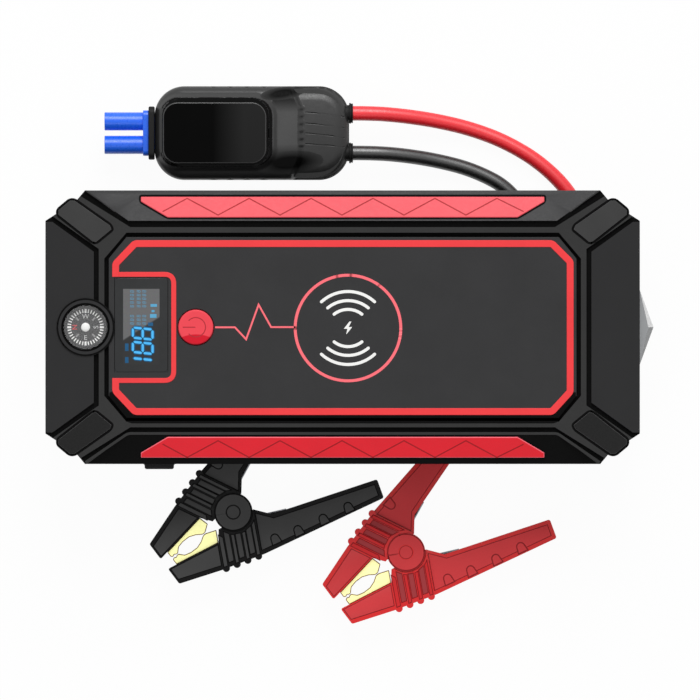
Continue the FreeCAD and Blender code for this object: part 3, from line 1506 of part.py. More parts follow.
def biarc(start, start_way, stop, stop_way):
    """Two arcs that leave start along one direction and reach stop along another."""
    span = stop - start
    sum_way = start_way + stop_way
    a = sum_way.dot(sum_way) - 4
    b = -2 * span.dot(sum_way)
    c = span.dot(span)
    reach = (-b - math.sqrt(b * b - 4 * a * c)) / (2 * a)
    first = start + start_way * reach
    second = stop - stop_way * reach
    joint = (first + second) * 0.5
    return [rounded_corner(start, first, joint), rounded_corner(joint, second, stop)]


def make_spring(colour, label):
    """Torsion spring round the rivet: a leg in each handle, and turns that don't touch."""
    radius = float(s.spring_mean_radius)
    wire = float(s.spring_wire) / 2
    leg_turn = float(s.spring_leg_turn)
    first_angle = math.radians(90 + leg_turn)
    whole = math.radians(360 * float(s.spring_turns) + 180 - 2 * leg_turn)
    steps = 4 * int(s.spring_turns) + 2
    rise = float(s.spring_pitch) * whole / (2 * math.pi)
    slope = rise / (radius * whole) * steps / (steps - 1)
    points, ways = [], []
    for k in range(steps + 1):
        angle = first_angle + whole * k / steps
        share = min(max((k - 0.5) / (steps - 1), 0), 1)
        height = rise * (share - 0.5)
        points.append(FreeCAD.Vector(radius * math.cos(angle), radius * math.sin(angle), height))
        climb = 0 if k in (0, steps) else slope
        ways.append(FreeCAD.Vector(-math.sin(angle), math.cos(angle), climb).normalize())
    edges = [Part.LineSegment(points[0] - ways[0] * float(s.spring_leg), points[0]).toShape()]
    for k in range(steps):
        edges += biarc(points[k], ways[k], points[k + 1], ways[k + 1])
    edges.append(Part.LineSegment(points[-1], points[-1] + ways[-1] * float(s.spring_leg)).toShape())
    path = Part.Wire(edges)
    profile = Part.Wire([Part.makeCircle(wire, points[0] - ways[0] * float(s.spring_leg), ways[0])])
    tube = path.makePipeShell([profile], True, False)
    trail = path.discretize(400)
    near_steps = int(400 * 6 * wire / path.Length) + 2
    gaps = [
        (trail[i] - trail[j]).Length - 2 * wire
        for i in range(0, 400, 2) for j in range(i + near_steps, 400, 2)
    ]
    print("%s: wire %.1f, length %.1f, least gap to itself %.2f, volume share %.4f" % (
        label, 2 * wire, path.Length, min(gaps), tube.Volume / (math.pi * wire * wire * path.Length)))
    spring = doc.addObject("Part::Feature", label)
    spring.Shape = tube
    place_in_clamp(spring, colour)
    return keep(spring, label)


def make_clamp(colour):
    make_lever(colour, 1, colour + "_upper_lever")
    make_lever(colour, -1, colour + "_lower_lever")
    make_brass_jaw(colour, 1, colour + "_upper_jaw")
    make_brass_jaw(colour, -1, colour + "_lower_jaw")
    make_rivet(colour, colour + "_rivet")
    make_spring(colour, colour + "_spring")


# Leads. Each route is a list of points chosen by hand, from the box's bushing to the handle.
red_route = [
    (8.6, 87.73, 10.0), (19.0, 86.9, 8.2), (31.5, 85.1, 5.4), (44.3, 82.1, 3.4), (57.0, 77.3, 2.7),
    (69.7, 69.6, 2.7), (80.4, 58.8, 2.7), (86.6, 45.0, 2.7), (86.8, 30.0, 2.7), (81.0, 16.0, 2.7),
    (71.5, 4.5, 3.2), (61.5, -3.5, 4.8),
]
black_route = [
    (8.6, 73.33, 10.0), (18.8, 72.6, 7.8), (31.4, 70.7, 4.6), (45.0, 67.2, 3.0), (58.3, 60.3, 2.7),
    (65.6, 47.6, 2.7), (62.9, 32.9, 2.7), (51.5, 23.0, 2.7), (37.0, 19.6, 2.7), (21.0, 18.2, 2.7),
    (6.0, 14.8, 3.2), (-3.5, 9.0, 4.8),
]


def lead_ends(colour, side):
    """Where a lead leaves the box, where it goes into its handle, and the handle's direction."""
    start = FreeCAD.Vector(
        float(s.box_x + box_half + s.bushing_nose),
        float(s.box_y + s.bushing_pitch / 2 * side),
        float(s.axis_height),
    )
    mid_u = (float(s.handle_end_u) + float(handle_end_outer[0])) / 2
    mid_v = (float(s.handle_end_v) + float(handle_end_outer[1])) / 2
    placement = clamp_placement(colour)
    end = placement.multVec(FreeCAD.Vector(mid_u, mid_v, 0))
    way = placement.Rotation.multVec(FreeCAD.Vector(handle_way[0], handle_way[1], 0))
    return start, end, way


def make_lead(colour, side, middle):
    """A round silicone lead: straight runs joined by arcs as large as the runs allow."""
    start, end, way = lead_ends(colour, side)
    points = [start] + [FreeCAD.Vector(*p) for p in middle] + [end + way * s.lead_straight, end]
    radius = float(s.lead_diameter) / 2
    edges = []
    radii = []
    here = points[0]
    for before, corner, after in zip(points, points[1:], points[2:]):
        reach = 0.45 * min((before - corner).Length, (after - corner).Length)
        turn = math.pi - (before - corner).getAngle(after - corner)
        radii.append(reach / math.tan(turn / 2))
        enter = corner + (before - corner).normalize() * reach
        leave = corner + (after - corner).normalize() * reach
        edges.append(Part.LineSegment(here, enter).toShape())
        edges.append(rounded_corner(enter, corner, leave))
        here = leave
    edges.append(Part.LineSegment(here, points[-1]).toShape())
    path = Part.Wire(edges)
    profile = Part.Wire([Part.makeCircle(radius, start, points[1] - points[0])])
    tube = path.makePipeShell([profile], True, False)
    section = math.pi * radius * radius
    print("%s lead: length %.1f, least radius %.1f, volume share %.4f" % (
        colour, path.Length, min(radii), tube.Volume / (section * path.Length)))
    lead = doc.addObject("Part::Feature", colour + "_lead")
    lead.Shape = tube
    return keep(lead, colour + "_lead")


make_back_shell()
make_front_shell()
make_front_panel()
make_window_and_display()
make_button()
make_compass()
make_inlays()
make_corner_pads()
make_flashlight()
make_ports()
make_battery()
make_case_screws()
make_box()
make_plug()
make_bushings()
make_clamp("black")
make_clamp("red")
make_lead("red", 1, red_route)
make_lead("black", -1, black_route)
doc.recompute()

faults = []
for item in doc.Objects:
    if "Invalid" in item.State or "Error" in item.State:
        faults.append("%s: %s" % (item.Name, item.State))
for item in nodes:
    shape = item.Shape
    if shape.isNull() or not shape.isValid() or not shape.Solids:
        faults.append("%s has no sound solid" % item.Label)
if faults:
    raise RuntimeError("; ".join(faults))
os.makedirs("parts", exist_ok=True)
for item in nodes:
    item.Shape.exportStep("parts/%s.step" % item.Label)
print("%d sub-parts written" % len(nodes))
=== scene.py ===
# %% [markdown]
# # A jump starter pack and its smart lead, dressed for a studio picture
# The solids come from the CAD source, already in place and in metres. This lesson gives each of
# them the finish of the real one, and adds what CAD leaves out: printed marks, a lit display,
# rounded edges and soft silicone leads. Everything stays in the frame of the solids, so nothing
# has to be fitted.

# %% Load the frame
import bpy
import bmesh
import math
import numpy as np
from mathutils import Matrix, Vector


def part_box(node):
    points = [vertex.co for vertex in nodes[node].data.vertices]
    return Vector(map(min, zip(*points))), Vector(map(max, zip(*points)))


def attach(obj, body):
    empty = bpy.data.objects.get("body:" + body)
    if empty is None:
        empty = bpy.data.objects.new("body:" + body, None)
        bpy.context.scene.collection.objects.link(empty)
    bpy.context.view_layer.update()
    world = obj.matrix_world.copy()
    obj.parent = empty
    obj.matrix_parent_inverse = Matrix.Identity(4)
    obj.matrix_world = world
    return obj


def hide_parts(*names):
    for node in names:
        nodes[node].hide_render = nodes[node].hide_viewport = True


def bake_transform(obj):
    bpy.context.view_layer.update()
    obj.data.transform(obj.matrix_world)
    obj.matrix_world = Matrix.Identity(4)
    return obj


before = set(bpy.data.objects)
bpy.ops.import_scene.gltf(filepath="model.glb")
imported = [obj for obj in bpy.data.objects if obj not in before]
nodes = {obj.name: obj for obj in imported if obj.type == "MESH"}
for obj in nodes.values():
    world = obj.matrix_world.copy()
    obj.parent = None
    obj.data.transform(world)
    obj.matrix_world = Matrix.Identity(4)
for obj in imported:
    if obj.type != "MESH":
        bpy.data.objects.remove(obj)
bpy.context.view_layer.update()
MM = 0.001

# %% [markdown]
# ## Camera
# The picture was taken straight from above with almost no perspective. A very long lens far away
# gives that look, and the distance sets how much of the table fills the frame.

# %% The camera
VIEW_WIDTH = 253.2 * MM
LENS = 1500.0
SENSOR = 36.0
VIEW_CENTRE = (0.14 * MM, 1.79 * MM)
face_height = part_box("front_panel")[1].z

camera_data = bpy.data.cameras.new("studio_camera")
camera_data.lens = LENS
camera_data.sensor_width = SENSOR
camera = bpy.data.objects.new("studio_camera", camera_data)
camera.location = (*VIEW_CENTRE, face_height + VIEW_WIDTH * LENS / SENSOR)
bpy.context.scene.collection.objects.link(camera)
bpy.context.scene.camera = camera
print("camera height: %.3f m" % camera.location.z)

# %% [markdown]
# Flat marks were measured on the picture, so one small function turns picture points into places
# on the table. The middle of a piece is read from its solid.

# %% From picture points to places
PIXEL = 0.3617 * MM
PICTURE_MIDDLE = (349.6, 354.95)


def spot(points):
    """Places of picture points: (across - middle) * pixel to the right, (middle - down) * pixel up."""
    return (np.asarray(points, float) - PICTURE_MIDDLE) * (PIXEL, -PIXEL)


def middle_of(node_name):
    """Middle of a solid's box, as seen from above."""
    low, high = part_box(node_name)
    return np.array([(low.x + high.x) / 2, (low.y + high.y) / 2])


pack_middle = middle_of("front_shell")
shell_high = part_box("front_shell")[1]
print("middle of the pack: %.2f, %.2f mm" % tuple(pack_middle / MM))

# %% [markdown]
# ## Colours and nodes
# Colours are written as the eye reads them, in hex. Blender works with linear light, so one
# function turns them over. A second one adds a node, sets it and links it.

# %% Colour and node helpers


def linear(hex_colour):
    """sRGB hex to linear: c / 12.92 below 0.04045, else ((c + 0.055) / 1.055) to the power 2.4."""
    parts = [int(hex_colour[i:i + 2], 16) / 255 for i in (1, 3, 5)]
    light = [c / 12.92 if c <= 0.04045 else ((c + 0.055) / 1.055) ** 2.4 for c in parts]
    return (*light, 1.0)


def shades(hex_colour, less, more):
    """A darker and a lighter shade: the linear colour times each share, with no channel over 1."""
    base = np.array(linear(hex_colour)[:3])
    return [(*np.minimum(base * share, 1), 1.0) for share in (less, more)]


def connect(tree, node, **inputs):
    """Gives each input a value, or a link where the value is another node's output.

    i0, i1 and so on name an input by its number.
    """
    for name, value in inputs.items():
        key = int(name[1:]) if name[0] == "i" and name[1:].isdigit() else name.replace("_", " ")
        if isinstance(value, bpy.types.NodeSocket):
            tree.links.new(value, node.inputs[key])
        else:
            node.inputs[key].default_value = value


def add_node(tree, kind, settings=None, **inputs):
    """Adds a node with its settings, and connects its inputs."""
    node = tree.nodes.new(kind)
    for name, value in (settings or {}).items():
        setattr(node, name, value)
    connect(tree, node, **inputs)
    return node


COLOUR_MIX = {"data_type": "RGBA"}


def new_material(name):
    """A material with its tree, its shader, and the place of a point on the object."""
    material = bpy.data.materials.new(name)
    material.use_nodes = True
    tree = material.node_tree
    tree.nodes.clear()
    shader = add_node(tree, "ShaderNodeBsdfPrincipled")
    add_node(tree, "ShaderNodeOutputMaterial", Surface=shader.outputs[0])
    return material, tree, shader, add_node(tree, "ShaderNodeTexCoord").outputs["Object"]


# %% [markdown]
# ## The main finish
# Nearly every piece here is moulded or pressed. Such a surface has a fine grain from its tool,
# colour that wanders a little, and gloss that changes with the grain. One function builds that
# from two noises on Object coordinates, with the grain size given in millimetres. A grain too
# fine for the picture is drawn at about half a millimetre, so that it still shows.

# %% One function for a grained finish
SOFT_GRAIN = 14 * MM
GLOSS_CHANGE = 0.08


def grained(name, colour, roughness, grain=0.5, depth=0.02, change=0.12, gleam=0.22):
    """Colour and roughness wander with a soft noise, and the relief follows a fine one."""
    material, tree, shader, place = new_material(name)
    fine = add_node(tree, "ShaderNodeTexNoise", Vector=place, Scale=1 / (grain * MM), Detail=3.0)
    soft = add_node(tree, "ShaderNodeTexNoise", Vector=place, Scale=1 / SOFT_GRAIN, Detail=2.0)
    both = add_node(
        tree, "ShaderNodeMath", {"operation": "MULTIPLY_ADD"},
        i0=fine.outputs["Fac"], i1=0.6, i2=soft.outputs["Fac"],
    )
    spread = add_node(tree, "ShaderNodeMapRange", Value=both.outputs[0], From_Min=0.5, From_Max=1.1)
    dark, light = shades(colour, 1 - change, 1 + change)
    tint = add_node(tree, "ShaderNodeMix", COLOUR_MIX, Factor=spread.outputs[0], A=dark, B=light)
    gloss = add_node(
        tree, "ShaderNodeMapRange", Value=fine.outputs["Fac"], From_Min=0.3, From_Max=0.7,
        To_Min=max(roughness - GLOSS_CHANGE, 0.02), To_Max=min(roughness + GLOSS_CHANGE, 1),
    )
    relief = add_node(tree, "ShaderNodeBump", Height=fine.outputs["Fac"], Strength=0.5, Distance=depth * MM)
    connect(
        tree, shader, Base_Color=tint.outputs["Result"], Roughness=gloss.outputs[0],
        Normal=relief.outputs[0], Specular_IOR_Level=gleam,
    )
    return material


# %% [markdown]
# ## The plastics and rubbers
# Case, end panels and bars are spark-eroded ABS, so they are matt black with a sandy grain. The
# far bar is painted a lighter tone as if lit, and the near one almost black as painted shade; the
# pads are painted the same way, lighter at the far side and darker at the near side. The pads and
# the cover are softer thermoplastic rubber, the box is satin nylon, and its cap and the window are
# polished.

# %% Case and panel plastics
case_abs = grained("case_spark_eroded_abs", "#1f1f20", 0.55, grain=0.55, depth=0.03)
# Painted light and shade on one ABS: the far bar is painted lighter as if lit, the near bar near black as if
# in shade.
far_bar_painted_light_abs = grained("far_bar_light_painted_abs", "#2f2f30", 0.5, grain=0.55, depth=0.03)
near_bar_painted_shade_abs = grained("near_bar_shade_painted_abs", "#070707", 0.62, grain=0.55, gleam=0.05)
rim_abs = grained("rim_satin_abs", "#262626", 0.45, grain=0.6)
end_abs = grained("flat_end_satin_abs", "#1a1a1b", 0.5, grain=0.55)
# Painted shade: near black for groove faces and for dark films laid where shade falls.
painted_shadow_black = grained("groove_gap_painted_shadow_abs", "#080808", 0.7, grain=0.55, gleam=0.05)
panel_sheet = grained("panel_screen_printed_sheet", "#2a2a2b", 0.42, grain=0.4, depth=0.012)
# Painted light and shade: one pad rubber, painted lighter on the far pads and darker on the near ones.
far_pad_painted_light_rubber = grained("far_pad_light_painted_rubber", "#363636", 0.7, grain=0.6, depth=0.04)
near_pad_painted_shade_rubber = grained("near_pad_shade_painted_rubber", "#0d0d0d", 0.7, grain=0.6, depth=0.04)
# Painted highlight: the pads' rounded edges are painted lighter than their tops.
pad_edge = grained("pad_edge_highlight_painted_rubber", "#464646", 0.6, grain=0.6, gleam=0.3)
cover_rubber = grained("cover_soft_rubber", "#202021", 0.75, grain=0.6, depth=0.04)
window_acrylic = grained("window_smoked_acrylic", "#2c2d2e", 0.16, grain=2.0, depth=0.004)
red_abs = grained("trim_red_abs", "#ef4044", 0.4, grain=0.7, depth=0.01, change=0.04)
# Painted sheen: the far inlay is painted paler, as if lit; the near one keeps the plain red.
far_inlay_painted_sheen_abs = grained("far_inlay_sheen_painted_abs", "#e8525c", 0.42, grain=0.6, change=0.05)
inlay_near_abs = grained("near_inlay_red_abs", "#ee2030", 0.42, grain=0.6, change=0.05)
# Painted highlight: the near inlay's rounded edges are painted paler.
inlay_edge = grained("inlay_edge_highlight_painted_abs", "#f86a78", 0.42, grain=0.6, change=0.05)
inlay_line = grained("inlay_line_dark_red", "#a8141e", 0.5, change=0.05)

# %% Plastics and rubbers of the lead
box_nylon = grained("box_satin_nylon", "#292929", 0.36, grain=0.7, gleam=0.42)
# Painted light and shade: the step is painted lighter as if lit and darkens towards its fillets; the fillet
# finish is painted shade.
step_painted_light_and_shade = grained("box_step_light_and_shade_painted_nylon", "#484848", 0.42, grain=0.7)
fillet_painted_shade_nylon = grained("box_fillet_shade_painted_nylon", "#363636", 0.5, grain=0.7, gleam=0.05)
# Painted highlight: a pale strip along each groove's edge.
groove_edge_painted_highlight = grained("box_groove_edge_highlight_painted_nylon", "#606060", 0.42, grain=0.7)
# Painted shade: near black round the cap's seat and in the fine grooves, as if in shadow.
box_painted_shade_nylon = grained("box_seat_groove_shade_painted_nylon", "#050505", 0.3, grain=0.7, depth=0.01, gleam=0.08)
# Painted highlight: the cap's rounded edge is painted lighter.
cap_edge = grained("cap_edge_highlight_painted", "#3c3c3c", 0.2, grain=2.0, depth=0.004, gleam=0.3)
# Painted reflection: the polished cap is painted from dark to less dark along X.
cap_black_painted_reflection = grained("cap_polished_reflection_painted", "#030303", 0.12, grain=3.0, depth=0.004, gleam=0.04)
bushing_rubber = grained("bushing_moulded_rubber", "#0b0b0b", 0.6, depth=0.03)
plug_nylon = grained("plug_glossy_blue_nylon", "#1f68f2", 0.3, grain=0.9, depth=0.01, change=0.05, gleam=0.5)
red_silicone = grained("red_lead_silicone", "#ee1c2a", 0.4, grain=0.8, depth=0.01, change=0.06, gleam=0.8)
black_silicone = grained("black_lead_silicone", "#040404", 0.36, grain=0.8, depth=0.01, gleam=1.0)
black_lever = grained("black_lever_nylon", "#404040", 0.5, depth=0.03)
black_lever_edge = grained("black_lever_edge_nylon", "#060606", 0.3, gleam=0.12)
black_lever_line = grained("black_lever_line_nylon", "#060606", 0.6, gleam=0.05)
red_lever = grained("red_lever_nylon", "#dc3f43", 0.45, depth=0.03, change=0.05)
red_lever_slot = grained("red_lever_slot_nylon", "#aa3c40", 0.55, depth=0.03, change=0.05)
red_lever_rib = grained("red_lever_rib_nylon", "#d8282c", 0.4, change=0.05)
red_lever_edge = grained("red_lever_edge_nylon", "#de1014", 0.35, change=0.05, gleam=0.5)
red_lever_line = grained("red_lever_line_nylon", "#90141a", 0.5, change=0.05)
print("plastics made:", len(bpy.data.materials))

# %% [markdown]
# A polished face mirrors the room, so its tone runs from dark to less dark along it, and a soft
# fillet shows a dark pool. Both are painted: two functions lay a second colour over a finish, a
# painted reflection or a painted shade; one brings it in along an axis, the other round a place.

# %% Painted reflection and painted shade laid over a finish


def laid_over(material, share, colour):
    """Mixes a colour over a finish: none of it where the share is 0, all of it where it is 1."""
    tree = material.node_tree
    shader = tree.nodes["Principled BSDF"]
    first = shader.inputs["Base Color"].links[0].from_socket
    mix = add_node(tree, "ShaderNodeMix", COLOUR_MIX, Factor=share.outputs[0], A=first, B=linear(colour))
    connect(tree, shader, Base_Color=mix.outputs["Result"])


def faded(material, axis, start, stop, colour):
    """Brings a colour in along an axis, from none of it at start to all of it at stop."""
    tree = material.node_tree
    place = add_node(tree, "ShaderNodeTexCoord").outputs["Object"]
    parts = add_node(tree, "ShaderNodeSeparateXYZ", Vector=place)
    share = add_node(
        tree, "ShaderNodeMapRange", Value=parts.outputs[axis], From_Min=float(start), From_Max=float(stop),
    )
    laid_over(material, share, colour)


def pooled(material, centre, half, turn, colour):
    """Brings a colour in round a place: none from the rim of a turned ellipse, all of it near the middle."""
    tree = material.node_tree
    place = add_node(tree, "ShaderNodeTexCoord").outputs["Object"]
    local = add_node(
        tree, "ShaderNodeMapping", {"vector_type": "TEXTURE"}, Vector=place,
        Location=(*centre, 0.0), Rotation=(0, 0, math.radians(turn)), Scale=(*half, 1.0),
    )
    away = add_node(tree, "ShaderNodeVectorMath", {"operation": "LENGTH"}, i0=local.outputs[0])
    share = add_node(tree, "ShaderNodeMapRange", Value=away.outputs["Value"], From_Min=1.0, From_Max=0.45)
    laid_over(material, share, colour)


box_middle = middle_of("box_upper_shell")
CAP_REFLECTION_FADE = (-14 * MM, -3 * MM)
STEP_SHADE_FADES = ((7.5 * MM, 12 * MM), (-4.0 * MM, -8.5 * MM))
SHADE_POOLS = (
    {"middle": (13.5, -10.7), "half": (12.5, 4.2), "turn": 5.0},
    {"middle": (11.1, 14.4), "half": (8.0, 2.3), "turn": 8.0},
)
faded(cap_black_painted_reflection, "X", box_middle[0] + CAP_REFLECTION_FADE[0], box_middle[0] + CAP_REFLECTION_FADE[1], "#252525")
# Painted shade at both ends of the step.
for start, stop in STEP_SHADE_FADES:
    faded(step_painted_light_and_shade, "Y", box_middle[1] + start, box_middle[1] + stop, "#0a0a0a")
# Painted shade: dark pools in the soft fillets of the box.
for pool in SHADE_POOLS:
    pool_middle = box_middle + np.array(pool["middle"]) * MM
    pooled(fillet_painted_shade_nylon, pool_middle, np.array(pool["half"]) * MM, pool["turn"], "#030303")
print("pools of shade:", len(SHADE_POOLS))

# %% [markdown]
# ## The metals and the inside
# Brass jaws are stamped and show long draw lines, so their noise is stretched with a Mapping
# node. Screws, rivets, springs and shells of the sockets are steel. Inside are foil cells, foam,
# green boards, copper and ferrite, which only show when a cover is open or a piece is taken out.

# %% Metals


def drawn_metal(name, colour, roughness, stretch, line=0.6, depth=0.01):
    """A metal with fine lines along X: noise that is stretched by the given number."""
    material, tree, shader, place = new_material(name)
    long_way = add_node(tree, "ShaderNodeMapping", Vector=place, Scale=(1.0, stretch, stretch))
    lines = add_node(
        tree, "ShaderNodeTexNoise", Vector=long_way.outputs[0], Scale=1 / (line * MM * stretch), Detail=4.0,
    ).outputs["Fac"]
    dark, light = shades(colour, 0.85, 1.12)
    tint = add_node(tree, "ShaderNodeMix", COLOUR_MIX, Factor=lines, A=dark, B=light)
    gloss = add_node(
        tree, "ShaderNodeMapRange", Value=lines, To_Min=roughness * 0.7, To_Max=roughness * 1.3,
    )
    relief = add_node(tree, "ShaderNodeBump", Height=lines, Strength=0.4, Distance=depth * MM)
    connect(
        tree, shader, Base_Color=tint.outputs["Result"], Roughness=gloss.outputs[0],
        Normal=relief.outputs[0], Metallic=1.0,
    )
    return material


jaw_brass = drawn_metal("jaw_stamped_brass", "#fffbb4", 0.45, 6.0)
jaw_edge = drawn_metal("jaw_edge_darker_brass", "#8b6a3a", 0.5, 3.0)
gold_plate = drawn_metal("contact_gold_plate", "#e2b856", 0.25, 4.0)
bright_steel = drawn_metal("screw_zinc_plated_steel", "#c4c6c9", 0.3, 5.0)
spring_steel = drawn_metal("spring_oiled_steel", "#8e9095", 0.3, 8.0)
silvered = drawn_metal("reflector_vacuum_silver", "#dfe1e3", 0.14, 2.0)
copper_wire = drawn_metal("coil_enamelled_copper", "#c8713a", 0.35, 10.0)
cell_foil = drawn_metal("cell_pouch_foil", "#b9bcc0", 0.34, 1.0, line=3.0, depth=0.08)

# %% Boards, foam, ferrite and socket
board_green = grained("board_solder_mask", "#1d5a35", 0.35, grain=1.2, depth=0.05, change=0.3, gleam=0.5)
foam_black = grained("foam_open_cell", "#1c1c1e", 0.95, grain=0.9, depth=0.3, change=0.3, gleam=0.5)
ferrite_grey = grained("ferrite_sintered_sheet", "#3c3c40", 0.6, depth=0.03, gleam=0.5)
socket_plastic = grained("socket_blue_nylon", "#2f6fe0", 0.35, grain=0.8, depth=0.01, change=0.05, gleam=0.5)
print("materials so far:", len(bpy.data.materials))

# %% [markdown]
# Clear parts are the compass dome and the lamp lens. Both are moulded polycarbonate: they let
# light through, bend it with an index of 1.58, and carry a slight haze. The lens is frosted, and
# its facets differ in tone: each is painted lighter or darker, a painted reflection of another
# side of the room.

# %% Clear plastics
POLYCARBONATE_IOR = 1.58


def clear_plastic(name, colour, roughness, share, gleam):
    """Polycarbonate that lets a share of light through, with a faint haze; soft light goes straight on."""
    material, tree, shader, place = new_material(name)
    haze = add_node(tree, "ShaderNodeTexNoise", Vector=place, Scale=1 / (6 * MM), Detail=2.0)
    gloss = add_node(
        tree, "ShaderNodeMapRange", Value=haze.outputs["Fac"], To_Min=roughness * 0.6, To_Max=roughness * 1.6,
    )
    connect(
        tree, shader, Roughness=gloss.outputs[0], Base_Color=linear(colour), Transmission_Weight=share,
        IOR=POLYCARBONATE_IOR, Specular_IOR_Level=gleam,
    )
    rays = add_node(tree, "ShaderNodeLightPath")
    soft_rays = add_node(
        tree, "ShaderNodeMath", {"operation": "MAXIMUM"},
        i0=rays.outputs["Is Shadow Ray"], i1=rays.outputs["Is Diffuse Ray"],
    )
    passing = add_node(tree, "ShaderNodeMath", {"operation": "MULTIPLY"}, i0=soft_rays.outputs[0], i1=share)
    straight = add_node(tree, "ShaderNodeBsdfTransparent")
    both = add_node(
        tree, "ShaderNodeMixShader", i0=passing.outputs[0], i1=shader.outputs[0], i2=straight.outputs[0],
    )
    connect(tree, tree.nodes["Material Output"], Surface=both.outputs[0])
    return material


dome_clear = clear_plastic("dome_clear_polycarbonate", "#ffffff", 0.02, 1.0, 0.06)
lens_clear = clear_plastic("lens_frosted_polycarbonate", "#acaeb0", 0.3, 0.15, 0.25)
# Painted light and painted shade for the lens facets that face the far and the near side.
lens_painted_light = clear_plastic("lens_facet_lit_polycarbonate", "#eeeeee", 0.2, 0.1, 0.25)
lens_painted_shade = clear_plastic("lens_facet_shaded_polycarbonate", "#6c6e70", 0.2, 0.15, 0.25)

# %% [markdown]
# Printed marks are thin films of ink. Ink is matt and even, so only its colour wanders a little.

# %% Inks


def ink(name, colour, change=0.04):
    """An even film whose colour wanders by a small share."""
    return grained(name, colour, 0.5, depth=0.005, change=change, gleam=0.5)


white_ink = ink("mark_white_ink", "#f4f4f2", 0.03)
pale_ink = ink("dial_pale_ink", "#c4c4c4", 0.05)
grey_ink = ink("dial_grey_ink", "#828282", 0.05)
red_ink = ink("mark_red_ink", "#ff6c76")
dial_red_ink = ink("dial_red_ink", "#e0323c")
dial_sheet = grained("dial_printed_card", "#1e1e20", 0.5, grain=0.8, depth=0.01, change=0.08)
print("materials in all:", len(bpy.data.materials))

# %% [markdown]
# ## Finishes for the solids that stay
# Pieces inside the case, and small ones outside it, keep their CAD shape. Each gets its finish
# through its own material slot.

# %% Finishes for CAD nodes
kept_finishes = (
    (case_abs, ["compass_cup"]),
    (dial_sheet, ["compass_card"]),
    (window_acrylic, ["lcd_module"]),
    (board_green, ["display_board", "led_board", "main_board", "box_board"]),
    (bright_steel, ["button_switch", "usb_a_socket", "usb_c_socket", "case_screws"]),
    (silvered, ["reflector"]),
    (socket_plastic, ["ec5_socket"]),
    (gold_plate, ["socket_pins", "plug_contacts"]),
    (foam_black, ["battery_foam"]),
    (copper_wire, ["power_straps", "charging_coil"]),
    (ferrite_grey, ["ferrite_sheet"]),
    (cap_black_painted_reflection, ["box_relay"]),
    (cell_foil, ["battery_cell_%d" % number for number in range(1, 5)]),
)
for material, names in kept_finishes:
    for node_name in names:
        if not nodes[node_name].material_slots:
            nodes[node_name].data.materials.append(material)
        for material_slot in nodes[node_name].material_slots:
            material_slot.material = material
print("solids kept as they are:", sum(len(names) for material, names in kept_finishes))

# %% [markdown]
# ## Mesh helpers
# New pieces are grids of points. `skin` joins a grid into quads, `revolved` turns a profile, and
# `stacked` builds low solids from rings. `plates` and `framed` use it for films and for flats.

# %% Meshes from arrays


def rows_of(things, attribute):
    """One attribute of all points or faces, as rows of three numbers."""
    values = np.zeros(len(things) * 3)
    things.foreach_get(attribute, values)
    return values.reshape(-1, 3)


def shade(mesh, materials, smooth_angle=30.0):
    """Smooths all faces, keeps edges sharper than the angle, and adds the finishes."""
    mesh.polygons.foreach_set("use_smooth", [True] * len(mesh.polygons))
    mesh.set_sharp_from_angle(angle=math.radians(smooth_angle))
    for material in materials:
        mesh.materials.append(material)


def finish_mesh(mesh, materials, smooth_angle=30.0):
    """Merges doubles and turns faces outwards, then shades the mesh."""
    shape = bmesh.new()
    shape.from_mesh(mesh)
    bmesh.ops.remove_doubles(shape, verts=shape.verts, dist=0.0005 * MM)
    bmesh.ops.recalc_face_normals(shape, faces=shape.faces)
    shape.to_mesh(mesh)
    shape.free()
    shade(mesh, materials, smooth_angle)


def paint(mesh, finishes):
    """Gives each face the number of its finish."""
    mesh.polygons.foreach_set("material_index", np.asarray(finishes, dtype=np.int32))


def place_piece(name, mesh, body):
    """Links a mesh as a piece that rides on a body."""
    piece = bpy.data.objects.new(name, mesh)
    bpy.context.scene.collection.objects.link(piece)
    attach(piece, body)
    return piece


def round_edges(piece, radius, segments=2):
    """Rounds edges sharper than 30 degrees with a Bevel modifier, to a radius in millimetres."""
    bevel = piece.modifiers.new("rounded_edges", "BEVEL")
    bevel.width = radius * MM
    bevel.segments = segments
    bevel.limit_method = "ANGLE"
    bevel.angle_limit = math.radians(30)
    return bevel


def skin(name, points, materials, body, close_rows=False, close_columns=False):
    """Quads between neighbouring points of a grid with rows, columns and three coordinates."""
    rows, columns = points.shape[:2]
    row = np.arange(rows if close_rows else rows - 1)
    column = np.arange(columns if close_columns else columns - 1)
    r, c = np.meshgrid(row, column, indexing="ij")
    next_r = (r + 1) % rows
    next_c = (c + 1) % columns
    corners = [r * columns + c, r * columns + next_c, next_r * columns + next_c, next_r * columns + c]
    mesh = bpy.data.meshes.new(name)
    mesh.from_pydata(points.reshape(-1, 3).tolist(), [], np.stack(corners, axis=-1).reshape(-1, 4).tolist())
    finish_mesh(mesh, materials)
    return place_piece(name, mesh, body)


def revolved(name, profile, centre, material, body, axis=2, steps=96, closed=False):
    """A profile of radius and run, turned about a line through the centre along X (0) or Z (2)."""
    turn = np.linspace(0, 2 * np.pi, steps, endpoint=False)[:, None]
    radius, run = np.asarray(profile, float).T
    grid = np.empty((steps, len(radius), 3))
    grid[..., axis] = run
    grid[..., (axis + 1) % 3] = radius * np.cos(turn)
    grid[..., (axis + 2) % 3] = radius * np.sin(turn)
    return skin(name, grid + centre, [material], body, close_rows=True, close_columns=closed)


# %% Low solids from rings
SINK = 0.02 * MM
FRAME_FOOT = 0.03 * MM


